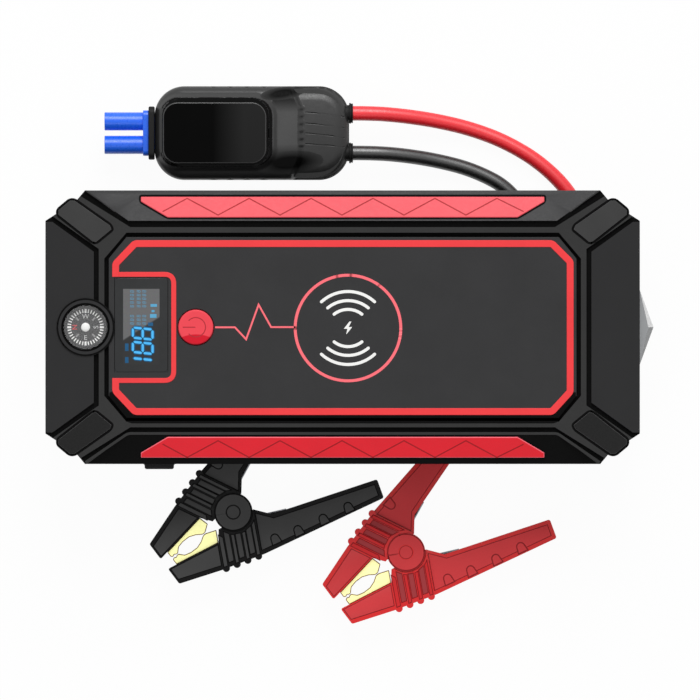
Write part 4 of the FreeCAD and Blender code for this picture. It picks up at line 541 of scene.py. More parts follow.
def stacked(name, stacks, materials, body):
    """Each stack of rings becomes a solid: walls between rings and a face at both ends.

    The top face has the first finish, and all other faces have the last one.
    """
    points, faces, finishes = [], [], []
    for stack in stacks:
        first, count = len(points), len(stack[0])
        points.extend(np.vstack(stack).tolist())
        last = len(points) - count
        faces.append(tuple(range(first, first + count))[::-1])
        faces.append(tuple(range(last, last + count)))
        for low in range(first, last, count):
            for i in range(count):
                j = (i + 1) % count
                faces.append((low + i, low + j, low + count + j, low + count + i))
        finishes += [len(materials) - 1, 0] + [len(materials) - 1] * (last - first)
    mesh = bpy.data.meshes.new(name)
    mesh.from_pydata(points, [], faces)
    paint(mesh, finishes)
    finish_mesh(mesh, materials)
    return place_piece(name, mesh, body)


def plates(name, outlines, surface, thickness, material, body="set"):
    """Thin films on a surface: a level, or a function that gives the height under points."""
    height = surface if callable(surface) else lambda outline: np.full(len(outline), surface)
    stacks = [
        [np.column_stack([outline, height(outline) + level]) for level in (-SINK, thickness)]
        for outline in outlines
    ]
    return stacked(name, stacks, [material], body)


def framed(name, outlines, level, thickness, line, materials, body):
    """Low plates with slanting sides: the sides have their own finish and read as a line round each."""
    stacks = []
    for outline in outlines:
        rings = (
            (outline, level - SINK), (outline, level + FRAME_FOOT), (inset(outline, line), level + thickness),
        )
        stacks.append([np.column_stack([ring, np.full(len(ring), height)]) for ring, height in rings])
    return stacked(name, stacks, materials, body)


# %% Paths and outlines


def turned(points, angle):
    """Points turned about the origin: x cos a - y sin a across, and x sin a + y cos a along."""
    cos, sin = math.cos(angle), math.sin(angle)
    return np.asarray(points, float) @ np.array([[cos, sin], [-sin, cos]])


def rectangle(low, high):
    """Corners of an upright rectangle, from its lowest and its highest corner."""
    return [(low[0], low[1]), (high[0], low[1]), (high[0], high[1]), (low[0], high[1])]


def rounded_path(points, radii, steps=8):
    """A path whose corners are rounded: each corner is a parabola between points at its radius."""
    points = np.asarray(points, float)
    trail = [points[0]]
    t = np.linspace(0, 1, steps)[:, None]
    for before, corner, after, radius in zip(points, points[1:], points[2:], radii):
        enter = corner + (before - corner) / np.linalg.norm(before - corner) * radius
        leave = corner + (after - corner) / np.linalg.norm(after - corner) * radius
        trail.extend((1 - t) ** 2 * enter + 2 * t * (1 - t) * corner + t ** 2 * leave)
    trail.append(points[-1])
    return np.array(trail)


def rounded_outline(outline, radius, steps=6):
    """A closed outline with each corner replaced by a parabola that starts a radius before it."""
    outline = np.asarray(outline, float)
    middle = (outline[0] + outline[-1]) / 2
    return rounded_path(np.vstack([middle, outline, middle]), [radius] * len(outline), steps)[:-1]


def sides_of(path, width, closed=False):
    """A path moved half a width to each side, with mitred corners, and its ways ahead."""
    ahead = np.roll(path, -1, axis=0) - path
    behind = path - np.roll(path, 1, axis=0)
    if not closed:
        ahead[-1] = behind[-1]
        behind[0] = ahead[0]
    ahead /= np.linalg.norm(ahead, axis=1)[:, None]
    behind /= np.linalg.norm(behind, axis=1)[:, None]
    middle = ahead + behind
    middle /= np.linalg.norm(middle, axis=1)[:, None]
    side = np.column_stack([-middle[:, 1], middle[:, 0]])
    reach = width / 2 / np.maximum(np.sum(middle * ahead, axis=1), 0.4)
    return path + side * reach[:, None], path - side * reach[:, None], ahead


def strip(path, width, round_ends=False):
    """Outline of a band about an open path, with square or round ends."""
    left, right, ahead = sides_of(np.asarray(path, float), width)
    far_cap, near_cap = np.empty((2, 0, 2))
    if round_ends:
        turn = np.linspace(np.pi / 2, -np.pi / 2, 9)[1:-1]
        half_circle = width / 2 * np.column_stack([np.cos(turn), np.sin(turn)])
        far_cap, near_cap = [
            end + half_circle @ np.array([way, (-way[1], way[0])])
            for end, way in ((path[-1], ahead[-1]), (path[0], -ahead[0]))
        ]
    return np.vstack([left, far_cap, right[::-1], near_cap])


def bands(path, width):
    """A closed band cut into quads, one per run of the path."""
    left, right, ahead = sides_of(path, width, closed=True)
    following = np.roll(np.arange(len(left)), -1)
    return [[left[i], left[j], right[j], right[i]] for i, j in enumerate(following)]


def arc(centre, radius, start, stop, steps=24):
    """Points at a radius from a centre, from one angle to another in degrees."""
    turn = np.radians(np.linspace(start, stop, steps))
    return np.column_stack([centre[0] + radius * np.cos(turn), centre[1] + radius * np.sin(turn)])


def disc(centre, radius, steps):
    """Points round a full circle, none of them twice."""
    return arc(centre, radius, 0, 360 * (1 - 1 / steps), steps)


def inset(outline, gaps):
    """Moves each side inwards by its own gap; the new corners are where neighbouring sides meet."""
    outline = np.asarray(outline, float)
    following = np.roll(outline, -1, axis=0)
    sides = following - outline
    ways = sides / np.linalg.norm(sides, axis=1)[:, None]
    turning = np.sign(np.sum(outline[:, 0] * following[:, 1] - outline[:, 1] * following[:, 0]))
    inwards = np.column_stack([-ways[:, 1], ways[:, 0]]) * turning
    starts = outline + inwards * np.broadcast_to(gaps, len(outline))[:, None]
    corners = []
    for i in range(len(outline)):
        crossing = np.column_stack([ways[i - 1], -ways[i]])
        run = np.linalg.solve(crossing, starts[i] - starts[i - 1])[0]
        corners.append(starts[i - 1] + ways[i - 1] * run)
    return np.array(corners)


# %% [markdown]
# CAD edges are perfectly sharp, and no moulded edge is. A sharp edge catches no light, so the
# eye reads it as a drawing. `softened` copies a solid, merges its triangles into whole faces and
# rounds every edge with a Bevel modifier. The copy then stands for the solid.

# %% Rounded copies of solids


def whole_faces(node_name):
    """A solid's triangles merged into whole faces."""
    shape = bmesh.new()
    shape.from_mesh(nodes[node_name].data)
    bmesh.ops.remove_doubles(shape, verts=shape.verts, dist=0.001 * MM)
    bmesh.ops.dissolve_limit(shape, angle_limit=math.radians(0.6), verts=shape.verts, edges=shape.edges)
    return shape


def top_outline(node_name):
    """Corners of the largest upward face of a solid, as seen from above."""
    shape = whole_faces(node_name)
    upward = [face for face in shape.faces if face.normal.z > 0.8]
    largest = max(upward, key=lambda face: face.calc_area())
    corners = np.array([tuple(vert.co)[:2] for vert in largest.verts])
    shape.free()
    return corners


def softened(node_name, radius, material, body="set", edge_material=None):
    """A copy of a solid with each edge sharper than 30 degrees rounded to a radius in millimetres."""
    shape = whole_faces(node_name)
    mesh = bpy.data.meshes.new(node_name + "_rounded")
    shape.to_mesh(mesh)
    shape.free()
    paint(mesh, [0] * len(mesh.polygons))
    shade(mesh, [material] + [edge_material] * bool(edge_material))
    piece = place_piece(node_name + "_rounded", mesh, body)
    bevel = round_edges(piece, radius, segments=3)
    bevel.harden_normals = True
    bevel.miter_outer = "MITER_ARC"
    if edge_material:
        bevel.material = 1
    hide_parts(node_name)
    return piece


# %% [markdown]
# ## The two leads
# The leads are fine-strand welding wire in silicone, so they are limp and lie in wide curves.
# Each is one NURBS curve over the same points as its CAD tube, from the rubber bushing of the
# box to the end of its clamp handle. They run under the pack, which rests over them.

# %% Leads as curves
LEAD_DIAMETER = 5.3 * MM
lead_routes = {
    "red": [
        (1.22, 87.73, 10.0), (8.6, 87.73, 10.0), (19.0, 86.9, 8.2), (31.5, 85.1, 5.4), (44.3, 82.1, 3.4),
        (57.0, 77.3, 2.7), (69.7, 69.6, 2.7), (80.4, 58.8, 2.7), (86.6, 45.0, 2.7), (86.8, 30.0, 2.7),
        (81.0, 16.0, 2.7), (71.5, 4.5, 3.2), (61.5, -3.5, 4.8), (49.606, -14.1, 6.5),
        (43.435, -22.595, 6.5),
    ],
    "black": [
        (1.22, 73.33, 10.0), (8.6, 73.33, 10.0), (18.8, 72.6, 7.8), (31.4, 70.7, 4.6), (45.0, 67.2, 3.0),
        (58.3, 60.3, 2.7), (65.6, 47.6, 2.7), (62.9, 32.9, 2.7), (51.5, 23.0, 2.7), (37.0, 19.6, 2.7),
        (21.0, 18.2, 2.7), (6.0, 14.8, 3.2), (-3.5, 9.0, 4.8), (-13.114, 0.47, 6.5),
        (-19.285, -8.025, 6.5),
    ],
}
lead_finishes = {"red": red_silicone, "black": black_silicone}
for colour, route in lead_routes.items():
    curve = bpy.data.curves.new(colour + "_silicone_lead", "CURVE")
    curve.dimensions = "3D"
    curve.bevel_depth = LEAD_DIAMETER / 2
    curve.bevel_resolution = 8
    curve.resolution_u = 12
    curve.use_fill_caps = True
    spline = curve.splines.new("NURBS")
    spline.points.add(len(route) - 1)
    for point, place in zip(spline.points, route):
        point.co = (place[0] * MM, place[1] * MM, place[2] * MM, 1.0)
    spline.order_u = 3
    spline.use_endpoint_u = True
    curve.materials.append(lead_finishes[colour])
    lead = bpy.data.objects.new(colour + "_silicone_lead", curve)
    bpy.context.scene.collection.objects.link(lead)
    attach(lead, "set")
    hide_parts(colour + "_lead")
    print(colour, "lead: %d points" % len(route))

# %% [markdown]
# ## The case
# The front shell has several tones: the flat ends, the rim, the far bar painted lighter as if lit,
# the near bar painted dark as if in shade, and painted shade in the grooves. Faces of the sloping
# bars are found by their normals, which lean along Y, and the grooves by their height.

# %% The front shell and its tones
front = softened("front_shell", 0.3, case_abs)
for material in (far_bar_painted_light_abs, near_bar_painted_shade_abs, rim_abs, painted_shadow_black, end_abs):
    front.data.materials.append(material)
CASE, FAR_BAR, NEAR_BAR, RIM, GROOVE, FLAT_END = range(6)
FRAME_TOP = 49.4 * MM
FLOOR_TOP = 48.6 * MM
RECESS_FLOOR = 47.0 * MM
END_START = 89.0 * MM
front_points = rows_of(front.data.vertices, "co")
tones = []
for face in front.data.polygons:
    corners = front_points[list(face.vertices)]
    low, high = corners[:, 2].min(), corners[:, 2].max()
    nearest = np.abs(corners[:, 0] - pack_middle[0]).min()
    in_frame = high < FRAME_TOP + 0.1 * MM
    sloping = abs(face.normal.y) > 0.2 and face.normal.z > 0.5
    level = face.normal.z > 0.9 and not sloping
    wall = abs(face.normal.z) < 0.5 and low > RECESS_FLOOR and in_frame
    # Groove floors and walls get the painted shade.
    if (level and high < FLOOR_TOP) or wall:
        tones.append(GROOVE)
    elif sloping:
        tones.append(FAR_BAR if face.center.y > pack_middle[1] else NEAR_BAR)
    elif level and in_frame:
        tones.append(FLAT_END if nearest > END_START else RIM)
    else:
        tones.append(CASE)
paint(front.data, tones)
print("faces of each tone:", np.bincount(tones).tolist())

# %% Back shell, panel, window and pads
softened("back_shell", 0.45, case_abs)
softened("front_panel", 0.25, panel_sheet)
softened("display_window", 0.2, window_acrylic)
for number, material in enumerate((far_pad_painted_light_rubber, far_pad_painted_light_rubber, near_pad_painted_shade_rubber, near_pad_painted_shade_rubber), 1):
    softened("corner_pad_%d" % number, 0.45, material, edge_material=pad_edge)
softened("top_inlay", 0.3, far_inlay_painted_sheen_abs)
softened("bottom_inlay", 0.3, inlay_near_abs, edge_material=inlay_edge)
softened("port_cover", 0.7, cover_rubber, body="cover")

# %% [markdown]
# Each pad sits in a gap that lies in shade, and the near side of the case lies in its own shade. Thin
# dark films are painted shade for both: one round each pad, and narrow ones along the near edge of
# the panel and of the rim. The near bar also has a fine lip that catches a little light.

# %% Painted shade round the pads and along the near edges, and the near lip
CORNER_ROUND = 1.2 * MM
PAD_SHADE_REACH = 0.9 * MM
LIP_WIDTH = 0.95 * MM
LIP_SINK = 0.2 * MM
LIP_RISE = 0.25 * MM
pad_shade_rings = [rounded_outline(inset(top_outline("corner_pad_%d" % n), -PAD_SHADE_REACH), CORNER_ROUND) for n in range(1, 5)]
lip_corners = np.array([(-93.0, -48.9), (-77.7, -38.43), (77.7, -38.43), (93.0, -48.9)]) * MM
lip_path = rounded_path(lip_corners + pack_middle, [CORNER_ROUND] * 2)
near_margin = [
    (109.3, 392.5), (109.3, 396.5), (126.5, 417.8), (558.7, 417.8), (575.9, 396.5), (575.9, 392.5),
    (570.2, 391.7), (552.0, 411.6), (135.0, 411.6), (115.6, 391.0),
]
rim_shadow = [
    (124.8, 419.2), (128.2, 422.2), (132.0, 423.4), (553.2, 423.4), (557.0, 422.2), (560.4, 419.2),
    (558.9, 420.9), (126.3, 420.9),
]
# Painted shade: dark films round the pads and along the near edges of the panel and the rim.
plates("pad_painted_shade_rings", pad_shade_rings, FRAME_TOP, 0.04 * MM, painted_shadow_black)
lip = [strip(lip_path, LIP_WIDTH)]
plates("near_bar_lip", lip, FRAME_TOP - LIP_SINK, LIP_RISE, rim_abs)
plates("near_margin_shadow", [spot(near_margin)], face_height, 0.02 * MM, painted_shadow_black)
plates("near_rim_shadow", [spot(rim_shadow)], FRAME_TOP, 0.03 * MM, painted_shadow_black)
window_low, window_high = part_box("display_window")
window_seat = np.array(rectangle(window_low, window_high))
plates("window_corner_fill", [window_seat], face_height - 0.15 * MM, 0.03 * MM, panel_sheet)
print("pads, panel and inlays are in place")

# %% [markdown]
# ## Red trim on the panel
# A bright red line runs round the panel and turns in round the display. It is a thin strip
# moulded into the sheet, 2.5 mm wide, and 1.8 mm wide where it turns round the display.

# %% Red trim
TRIM_WIDTH = 2.5 * MM
TURN_WIDTH = 1.8 * MM
TRIM_RISE = 0.22 * MM
trim_corners = [
    (115.6, 276.9), (115.6, 263.9), (135.0, 243.6), (552.0, 243.6), (570.2, 261.8), (570.2, 391.7),
    (552.0, 411.6), (135.0, 411.6), (115.6, 391.0), (115.6, 378.0),
]
turn_corners = [(119.0, 274.4), (173.7, 274.4), (173.7, 380.5), (119.0, 380.5)]
trim_path = rounded_path(spot(trim_corners), [0.8 * MM] * (len(trim_corners) - 2), steps=5)
turn_path = rounded_path(spot(turn_corners), [3.4 * MM] * (len(turn_corners) - 2), steps=9)
trim_outlines = [strip(trim_path, TRIM_WIDTH), strip(turn_path, TURN_WIDTH)]
trim = plates("panel_red_trim", trim_outlines, face_height, TRIM_RISE, red_abs)
round_edges(trim, 0.12)
print("trim points:", len(trim_path) + len(turn_path))

# %% [markdown]
# ## Printed marks
# A heartbeat line leads from the button to the charging sign: a ring, three waves on each side
# and a small bolt. All are ink, so they are only a few hundredths of a millimetre thick.

# %% Heartbeat line and charging sign
INK = 0.05 * MM
pulse = spot([
    (215.0, 327.3), (234.9, 327.3), (246.1, 339.3), (258.6, 304.7), (271.1, 327.1), (295.3, 327.1),
])
ring_centre = spot((348.0, 328.0))
ring_quads = bands(disc(ring_centre, 52.8 * PIXEL, 120), 2.9 * PIXEL)
plates("charging_ring_mark", ring_quads, face_height, INK, red_ink)
plates("heartbeat_mark", [strip(pulse, 1.8 * PIXEL)], face_height, INK, red_ink)


def wave(half_width, end_drop, top_rise, side):
    """An arc through two ends and a top: radius = (h * h + w * w) / 2h for a rise h over half width w."""
    height = top_rise - end_drop
    radius = (height ** 2 + half_width ** 2) / (2 * height)
    centre_rise = top_rise - radius
    edge = math.degrees(math.atan2(end_drop - centre_rise, half_width))
    middle = ring_centre + np.array([0, centre_rise * side])
    return arc(middle, radius, edge * side, (180 - edge) * side)


wave_sizes = np.array([(26.6, 26.2, 36.5), (20.3, 20.1, 27.4), (13.9, 13.8, 18.6)]) * PIXEL
waves = [strip(wave(*sizes, side), 3.0 * PIXEL, round_ends=True) for sizes in wave_sizes for side in (1, -1)]
bolt = np.array([
    (1.5, 6.5), (-4.2, -0.8), (-0.6, -0.8), (-1.8, -6.5), (4.2, 1.0), (0.6, 1.0), (3.4, 6.5),
]) * PIXEL + ring_centre
plates("charging_wave_marks", waves + [bolt], face_height, INK, white_ink)
print("waves:", len(waves))

# %% [markdown]
# ## Display
# A small liquid crystal display sits behind the smoked window. Its glass is a thin plate with a
# painted reflection: lighter at the far side of a slanting edge. The lit figures are flat segments
# in blue that give a little light of their own, each with a painted glow: a darker blue border.

# %% Display glass with a painted reflection
GLASS_RISE = 0.04 * MM
SLANT = math.radians(32.5)
glass_low, glass_high = spot([(123.1, 365.3), (159.5, 288.9)])
glass_painted_reflection, tree, shader, place = new_material("display_glass_reflection_painted")
slanted = add_node(tree, "ShaderNodeMapping", Vector=place, Rotation=(0, 0, -SLANT))
parts = add_node(tree, "ShaderNodeSeparateXYZ", Vector=slanted.outputs[0])
edge_along = float(turned(spot((141.3, 328.5)), -SLANT)[1])
step = add_node(
    tree, "ShaderNodeMapRange", Value=parts.outputs["Y"],
    From_Min=edge_along - 0.25 * MM, From_Max=edge_along + 0.25 * MM,
)
# Painted reflection: darker before the slanting edge, lighter beyond it.
tones = add_node(
    tree, "ShaderNodeMix", COLOUR_MIX, Factor=step.outputs[0], A=linear("#2b2c2d"), B=linear("#6c6c6d"),
)
noise = add_node(tree, "ShaderNodeTexNoise", Vector=place, Scale=1 / (0.6 * MM))
speckle = add_node(
    tree, "ShaderNodeMix", {**COLOUR_MIX, "blend_type": "MULTIPLY"}, Factor=0.25,
    A=tones.outputs["Result"], B=noise.outputs["Color"],
)
connect(tree, shader, Base_Color=speckle.outputs["Result"], Roughness=0.18, Specular_IOR_Level=0.3)
glass = [np.array(rectangle(glass_low, glass_high))]
plates("display_glass", glass, window_high.z, GLASS_RISE, glass_painted_reflection)
print("display glass: %.1f by %.1f mm" % tuple((glass_high - glass_low) / MM))

# %% [markdown]
# A figure of a segment display is seven bars with pointed ends. Here they are turned a quarter
# left, so that "up" in the figure is towards the compass. The number is a plain 188.

# %% Lit segments


def lit(name, first, second, strength):
    """Segments that give a little light of their own, in a blue that wanders between two tones."""
    material, tree, shader, place = new_material(name)
    noise = add_node(tree, "ShaderNodeTexNoise", Vector=place, Scale=1 / (1.5 * MM))
    tint = add_node(
        tree, "ShaderNodeMix", COLOUR_MIX, Factor=noise.outputs["Fac"], A=linear(first), B=linear(second),
    ).outputs["Result"]
    connect(tree, shader, Base_Color=tint, Emission_Color=tint, Emission_Strength=strength)
    return material


lit_blue = lit("display_lit_segments", "#2f9ad8", "#4ab0e8", 0.25)
faint_blue = lit("display_faint_segments", "#3f8fb4", "#5aa2c8", 0.1)
# Painted glow: a darker blue border round each lit figure; the same blue serves for the unlit marks.
glow_and_unlit_blue = grained("display_glow_painted_and_unlit_blue", "#1b5680", 0.3, grain=0.8, depth=0.004)

# %% Figures of seven bars
WIDE = 3.65
TALL = 7.1
BAR = 0.85
HALO_BAR = 1.6
BAR_GAP = 0.6
SHEAR = 0.1
SEGMENTS = {
    "top": ((0, TALL), (WIDE, TALL)), "middle": ((0, TALL / 2), (WIDE, TALL / 2)),
    "bottom": ((0, 0), (WIDE, 0)),
    "upper_left": ((0, TALL / 2), (0, TALL)), "upper_right": ((WIDE, TALL / 2), (WIDE, TALL)),
    "lower_left": ((0, 0), (0, TALL / 2)), "lower_right": ((WIDE, 0), (WIDE, TALL / 2)),
}
FIGURES = {"1": ["upper_right", "lower_right"], "8": list(SEGMENTS)}


def segment_bar(start, stop, wide):
    """A bar with pointed ends: the run is cut back by a small gap, and each end tapers to its middle."""
    start, stop = np.array(start, float), np.array(stop, float)
    way = (stop - start) / np.linalg.norm(stop - start)
    side = np.array([-way[1], way[0]]) * wide / 2
    tip = BAR_GAP - wide / 2
    a, b = start + way * tip, stop - way * tip
    c, d = start + way * BAR_GAP, stop - way * BAR_GAP
    return np.array([a, c - side, d - side, b, d + side, c + side])


def figure_bars(figure, origin, wide=BAR, scale=1.0):
    """The bars of a figure, sheared by a + 0.1 b, turned left by a quarter, (a, b) to (-b, a), and moved."""
    outlines = []
    for segment in FIGURES[figure]:
        bar = segment_bar(*SEGMENTS[segment], wide) * scale * MM
        bar[:, 0] += SHEAR * bar[:, 1]
        outlines.append(np.column_stack([-bar[:, 1], bar[:, 0]]) + origin)
    return outlines


def mark(left, right, far, near):
    """A plain bar on the display, from its sides on the picture."""
    return np.array(rectangle(spot((left, near)), spot((right, far))))


# %% What the display shows
FIGURE_FOOT = 152.5
SMALL_SCALE = 0.17
SMALL_BAR = 0.75
glass_top = window_high.z + GLASS_RISE
lit_outlines, halo_outlines, small_outlines = [], [], []
for figure, down in (("1", 370.2), ("8", 353.9), ("8", 339.6)):
    lit_outlines += figure_bars(figure, spot((FIGURE_FOOT, down)))
    halo_outlines += figure_bars(figure, spot((FIGURE_FOOT, down)), HALO_BAR)
for foot in (133.7, 140.3, 145.9):
    for down in (324.5, 320.8, 317.1, 307.2, 303.5, 299.8, 296.1, 292.4):
        small_outlines += figure_bars("8", spot((foot, down)), SMALL_BAR, SMALL_SCALE)
for sides in ((150.5, 157.0, 304.0, 306.8), (151.5, 154.5, 310.0, 312.2), (150.0, 156.5, 314.0, 317.8)):
    small_outlines.append(mark(*sides))
for sides in ((148.0, 153.0, 322.5, 326.0), (125.0, 128.5, 343.5, 351.0), (125.0, 128.5, 357.0, 363.0)):
    halo_outlines.append(mark(*sides))
plates("display_glow_painted_and_unlit_marks", halo_outlines, glass_top, 0.02 * MM, glow_and_unlit_blue)
plates("display_figures", lit_outlines, glass_top, 0.06 * MM, lit_blue)
plates("display_small_marks", small_outlines, glass_top, 0.04 * MM, faint_blue)
print("lit segments:", len(lit_outlines), "small ones:", len(small_outlines))

# %% [markdown]
# ## Power button
# The button is a low dish of coral plastic in the panel. Its part nearest to the user is a deeper
# red, made here by a circle in the colour: inside it red, outside it coral.

# %% Button material
button_low, button_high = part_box("power_button")
button_centre = middle_of("power_button")
CRESCENT_RADIUS = 13.4 * MM
CRESCENT_DOWN = 16.0 * MM
CRESCENT_BLUR = 0.1 * MM
button_red, tree, shader, place = new_material("button_two_shot_red")
crescent_centre = (float(button_centre[0]), float(button_centre[1] - CRESCENT_DOWN), 0.0)
flat_place = add_node(
    tree, "ShaderNodeVectorMath", {"operation": "MULTIPLY"}, i0=place, i1=(1.0, 1.0, 0.0),
)
away = add_node(
    tree, "ShaderNodeVectorMath", {"operation": "DISTANCE"}, i0=flat_place.outputs[0], i1=crescent_centre,
)
crescent = add_node(
    tree, "ShaderNodeMapRange", Value=away.outputs["Value"],
    From_Min=CRESCENT_RADIUS - CRESCENT_BLUR, From_Max=CRESCENT_RADIUS + CRESCENT_BLUR,
)
tones = add_node(
    tree, "ShaderNodeMix", COLOUR_MIX, Factor=crescent.outputs[0], A=linear("#d21c2e"), B=linear("#ef4c57"),
)
noise = add_node(tree, "ShaderNodeTexNoise", Vector=place, Scale=1 / (0.6 * MM))
relief = add_node(tree, "ShaderNodeBump", Height=noise.outputs["Fac"], Strength=0.3, Distance=0.01 * MM)
connect(
    tree, shader, Base_Color=tones.outputs["Result"], Normal=relief.outputs[0], Roughness=0.32,
    Specular_IOR_Level=0.12,
)

# %% Button body
BUTTON_RADIUS = 6.35 * MM
BUTTON_EDGE = 0.55 * MM
DISH_DEPTH = 0.18 * MM
FLANGE_THICKNESS = 0.8 * MM


def dish_height(away):
    """Height of the dish at a distance from its middle: top less depth times cos squared of the share."""
    share = np.minimum(away / BUTTON_RADIUS, 1)
    return button_high.z - DISH_DEPTH * np.cos(share * np.pi / 2) ** 2


turn_in = np.linspace(0, np.pi / 2, 7)
edge = np.column_stack([
    BUTTON_RADIUS - BUTTON_EDGE + BUTTON_EDGE * np.sin(turn_in[::-1]),
    button_high.z - BUTTON_EDGE + BUTTON_EDGE * np.cos(turn_in[::-1]),
])
across = np.linspace(BUTTON_RADIUS - BUTTON_EDGE, 0, 16)[1:]
flange_radius = float(button_high.x - button_low.x) / 2
flange_top = button_low.z + FLANGE_THICKNESS
foot = [
    (0.0, button_low.z), (flange_radius, button_low.z),
    (flange_radius, flange_top), (BUTTON_RADIUS, flange_top),
]
button_profile = np.vstack([foot, edge, np.column_stack([across, dish_height(across)])])
button_piece = revolved(
    "power_button_dish", button_profile, (*button_centre, 0.0), button_red, "button",
)
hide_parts("power_button")

# %% [markdown]
# The sign on the button is the usual power sign, a ring with a gap and a bar through the gap. It
# is engraved on the real one. Here it is a film of darker red that follows the dish.

# %% Power sign
SIGN_LINE = 0.36 * MM
SIGN_RADIUS = 3.5 * MM
SIGN_BAR = np.array([-4.6 * MM, -0.3 * MM])
sign_red = grained("button_engraved_line", "#b02c35", 0.5, change=0.05)


def on_dish(outline):
    """Height of the button's dish under points of the table."""
    return dish_height(np.linalg.norm(outline - button_centre, axis=1))


sign_ring = arc(button_centre, SIGN_RADIUS, 180 + 45, 540 - 45, 40)
sign_bar = button_centre + np.column_stack([np.linspace(*SIGN_BAR, 6), np.zeros(6)])
sign_outlines = [strip(path, SIGN_LINE, round_ends=True) for path in (sign_ring, sign_bar)]
plates("power_sign", sign_outlines, on_dish, 0.03 * MM, sign_red, "button")

# %% [markdown]
# ## Compass
# A liquid-free pocket compass: a printed card turns on a needle point, under a clear dome. The
# card has a ring of ticks, four letters and a white middle. North is red.

# %% Compass marks
card_centre = middle_of("compass_card")
card_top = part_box("compass_card")[1].z
TICKS = 36
HUB_RADIUS = 1.6 * MM
HUB_RISE = 0.5 * MM


def spokes(angles, inner, outer, wide):
    """Short radial marks on the card, between two radii in millimetres."""
    mark_outline = rectangle((inner, -wide / 2), (outer, wide / 2))
    return [turned(mark_outline, angle) * MM + card_centre for angle in angles]


fine_turns = [2 * np.pi * i / TICKS for i in range(TICKS) if i % (TICKS // 4)]
quarter_turns = [np.pi / 2 * i for i in range(4)]
half_way_turns = [angle + np.pi / 4 for angle in quarter_turns]
for name, marks, rise, material in (
    ("compass_fine_ticks", spokes(fine_turns, 5.2, 6.5, 0.42), INK, white_ink),
    ("compass_main_ticks", spokes(quarter_turns, 5.1, 6.54, 0.72), 0.07 * MM, white_ink),
    ("compass_dashes", spokes(half_way_turns, 3.4, 4.9, 0.6), INK, grey_ink),
):
    plates(name, marks, card_top, rise, material, "card")
hub_turn = np.linspace(0, np.pi / 2, 7)
hub_crown = np.column_stack([HUB_RADIUS * np.cos(hub_turn), card_top + HUB_RISE * np.sin(hub_turn)])
hub_profile = np.vstack([(0.0, card_top - SINK), (HUB_RADIUS, card_top - SINK), hub_crown])
revolved("compass_hub", hub_profile, (*card_centre, 0.0), white_ink, "card", steps=40)

# %% Compass letters
LETTER_HEIGHT = 1.75 * MM
LETTER_SPREAD = 3.8 * MM
FONT_SHARE = 1.42


def letter(text, centre, angle, material):
    """A letter from the built-in font, made a mesh, then turned and moved by arrays."""
    name = "compass_letter_" + text
    writing = bpy.data.curves.new(name, "FONT")
    writing.body = text
    writing.size = LETTER_HEIGHT * FONT_SHARE
    writing.align_x = "CENTER"
    writing.align_y = "CENTER"
    writing.extrude = SINK
    holder = bpy.data.objects.new(name + "_curve", writing)
    bpy.context.scene.collection.objects.link(holder)
    bpy.context.view_layer.update()
    mesh = bpy.data.meshes.new_from_object(holder.evaluated_get(bpy.context.evaluated_depsgraph_get()))
    bpy.data.objects.remove(holder)
    points = rows_of(mesh.vertices, "co")
    points[:, :2] = turned(points[:, :2], angle) + centre
    points[:, 2] += card_top + SINK
    mesh.vertices.foreach_set("co", points.ravel())
    mesh.materials.clear()
    finish_mesh(mesh, [material])
    return place_piece(name, mesh, "card")


LETTERS = (("W", 90, pale_ink), ("E", -90, pale_ink), ("N", 180, dial_red_ink), ("S", 0, pale_ink))
for text, degrees, material in LETTERS:
    way = np.array([math.cos(math.radians(degrees)), math.sin(math.radians(degrees))])
    letter(text, card_centre + way * LETTER_SPREAD, 0 if text in "WE" else np.pi / 2, material)

# %% [markdown]
# The dome is a shallow lens with a rolled edge, which the light outlines. A glossy bezel and a
# painted shadow line show where it sits in its boss.

# %% Compass dome
dome_low, dome_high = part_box("compass_dome")
dome_radius = float(dome_high.x - dome_low.x) / 2
DOME_ROLL = 0.6 * MM
DOME_CROWN = 0.25 * MM
dome_turn = np.linspace(0, np.pi / 2, 10)
flat_radius = dome_radius - DOME_ROLL
rolled_top = dome_high.z - DOME_CROWN
dome_edge = np.column_stack([
    flat_radius + DOME_ROLL * np.cos(dome_turn), rolled_top - DOME_ROLL + DOME_ROLL * np.sin(dome_turn),
])
dome_across = np.linspace(flat_radius, 0, 14)[1:]
dome_crown = np.column_stack([dome_across, rolled_top + DOME_CROWN * (1 - (dome_across / flat_radius) ** 2)])
dome_profile = np.vstack([(0.0, dome_low.z), (dome_radius, dome_low.z), dome_edge, dome_crown])
dome_piece = revolved("compass_dome_lens", dome_profile, (*card_centre, 0.0), dome_clear, "set")
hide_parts("compass_dome")
print("dome: %.1f mm across" % (2 * dome_radius / MM))

# %% Bezel and shadow line round the compass
BEZEL_RADIUS = 8.45 * MM
BEZEL_HALF = 0.55 * MM
BEZEL_RISE = 0.25 * MM
BEZEL_FOOT = 0.1 * MM
BOSS_LINE_RADIUS = 10.15 * MM
bezel_turn = np.linspace(0, np.pi, 9)
bezel_top = np.column_stack([
    BEZEL_RADIUS + BEZEL_HALF * np.cos(bezel_turn), dome_high.z - 0.05 * MM + BEZEL_RISE * np.sin(bezel_turn),
])
bezel_profile = np.vstack([bezel_top, bezel_top[-1] - (0, BEZEL_FOOT), bezel_top[0] - (0, BEZEL_FOOT)])
revolved(
    "compass_bezel", bezel_profile, (*card_centre, 0.0), cap_black_painted_reflection, "set", closed=True,
)
boss_line = bands(disc(card_centre, BOSS_LINE_RADIUS, 96), 0.6 * MM)
plates("compass_shadow_line", boss_line, shell_high.z, 0.04 * MM, painted_shadow_black)

# %% [markdown]
# ## Zig-zag lines on the inlays
# Both red inlays carry a thin zig-zag of darker lines, and round each lies a thin ring of painted
# shade. The inlay slopes, so both get their height from a plane fitted to its upper face.

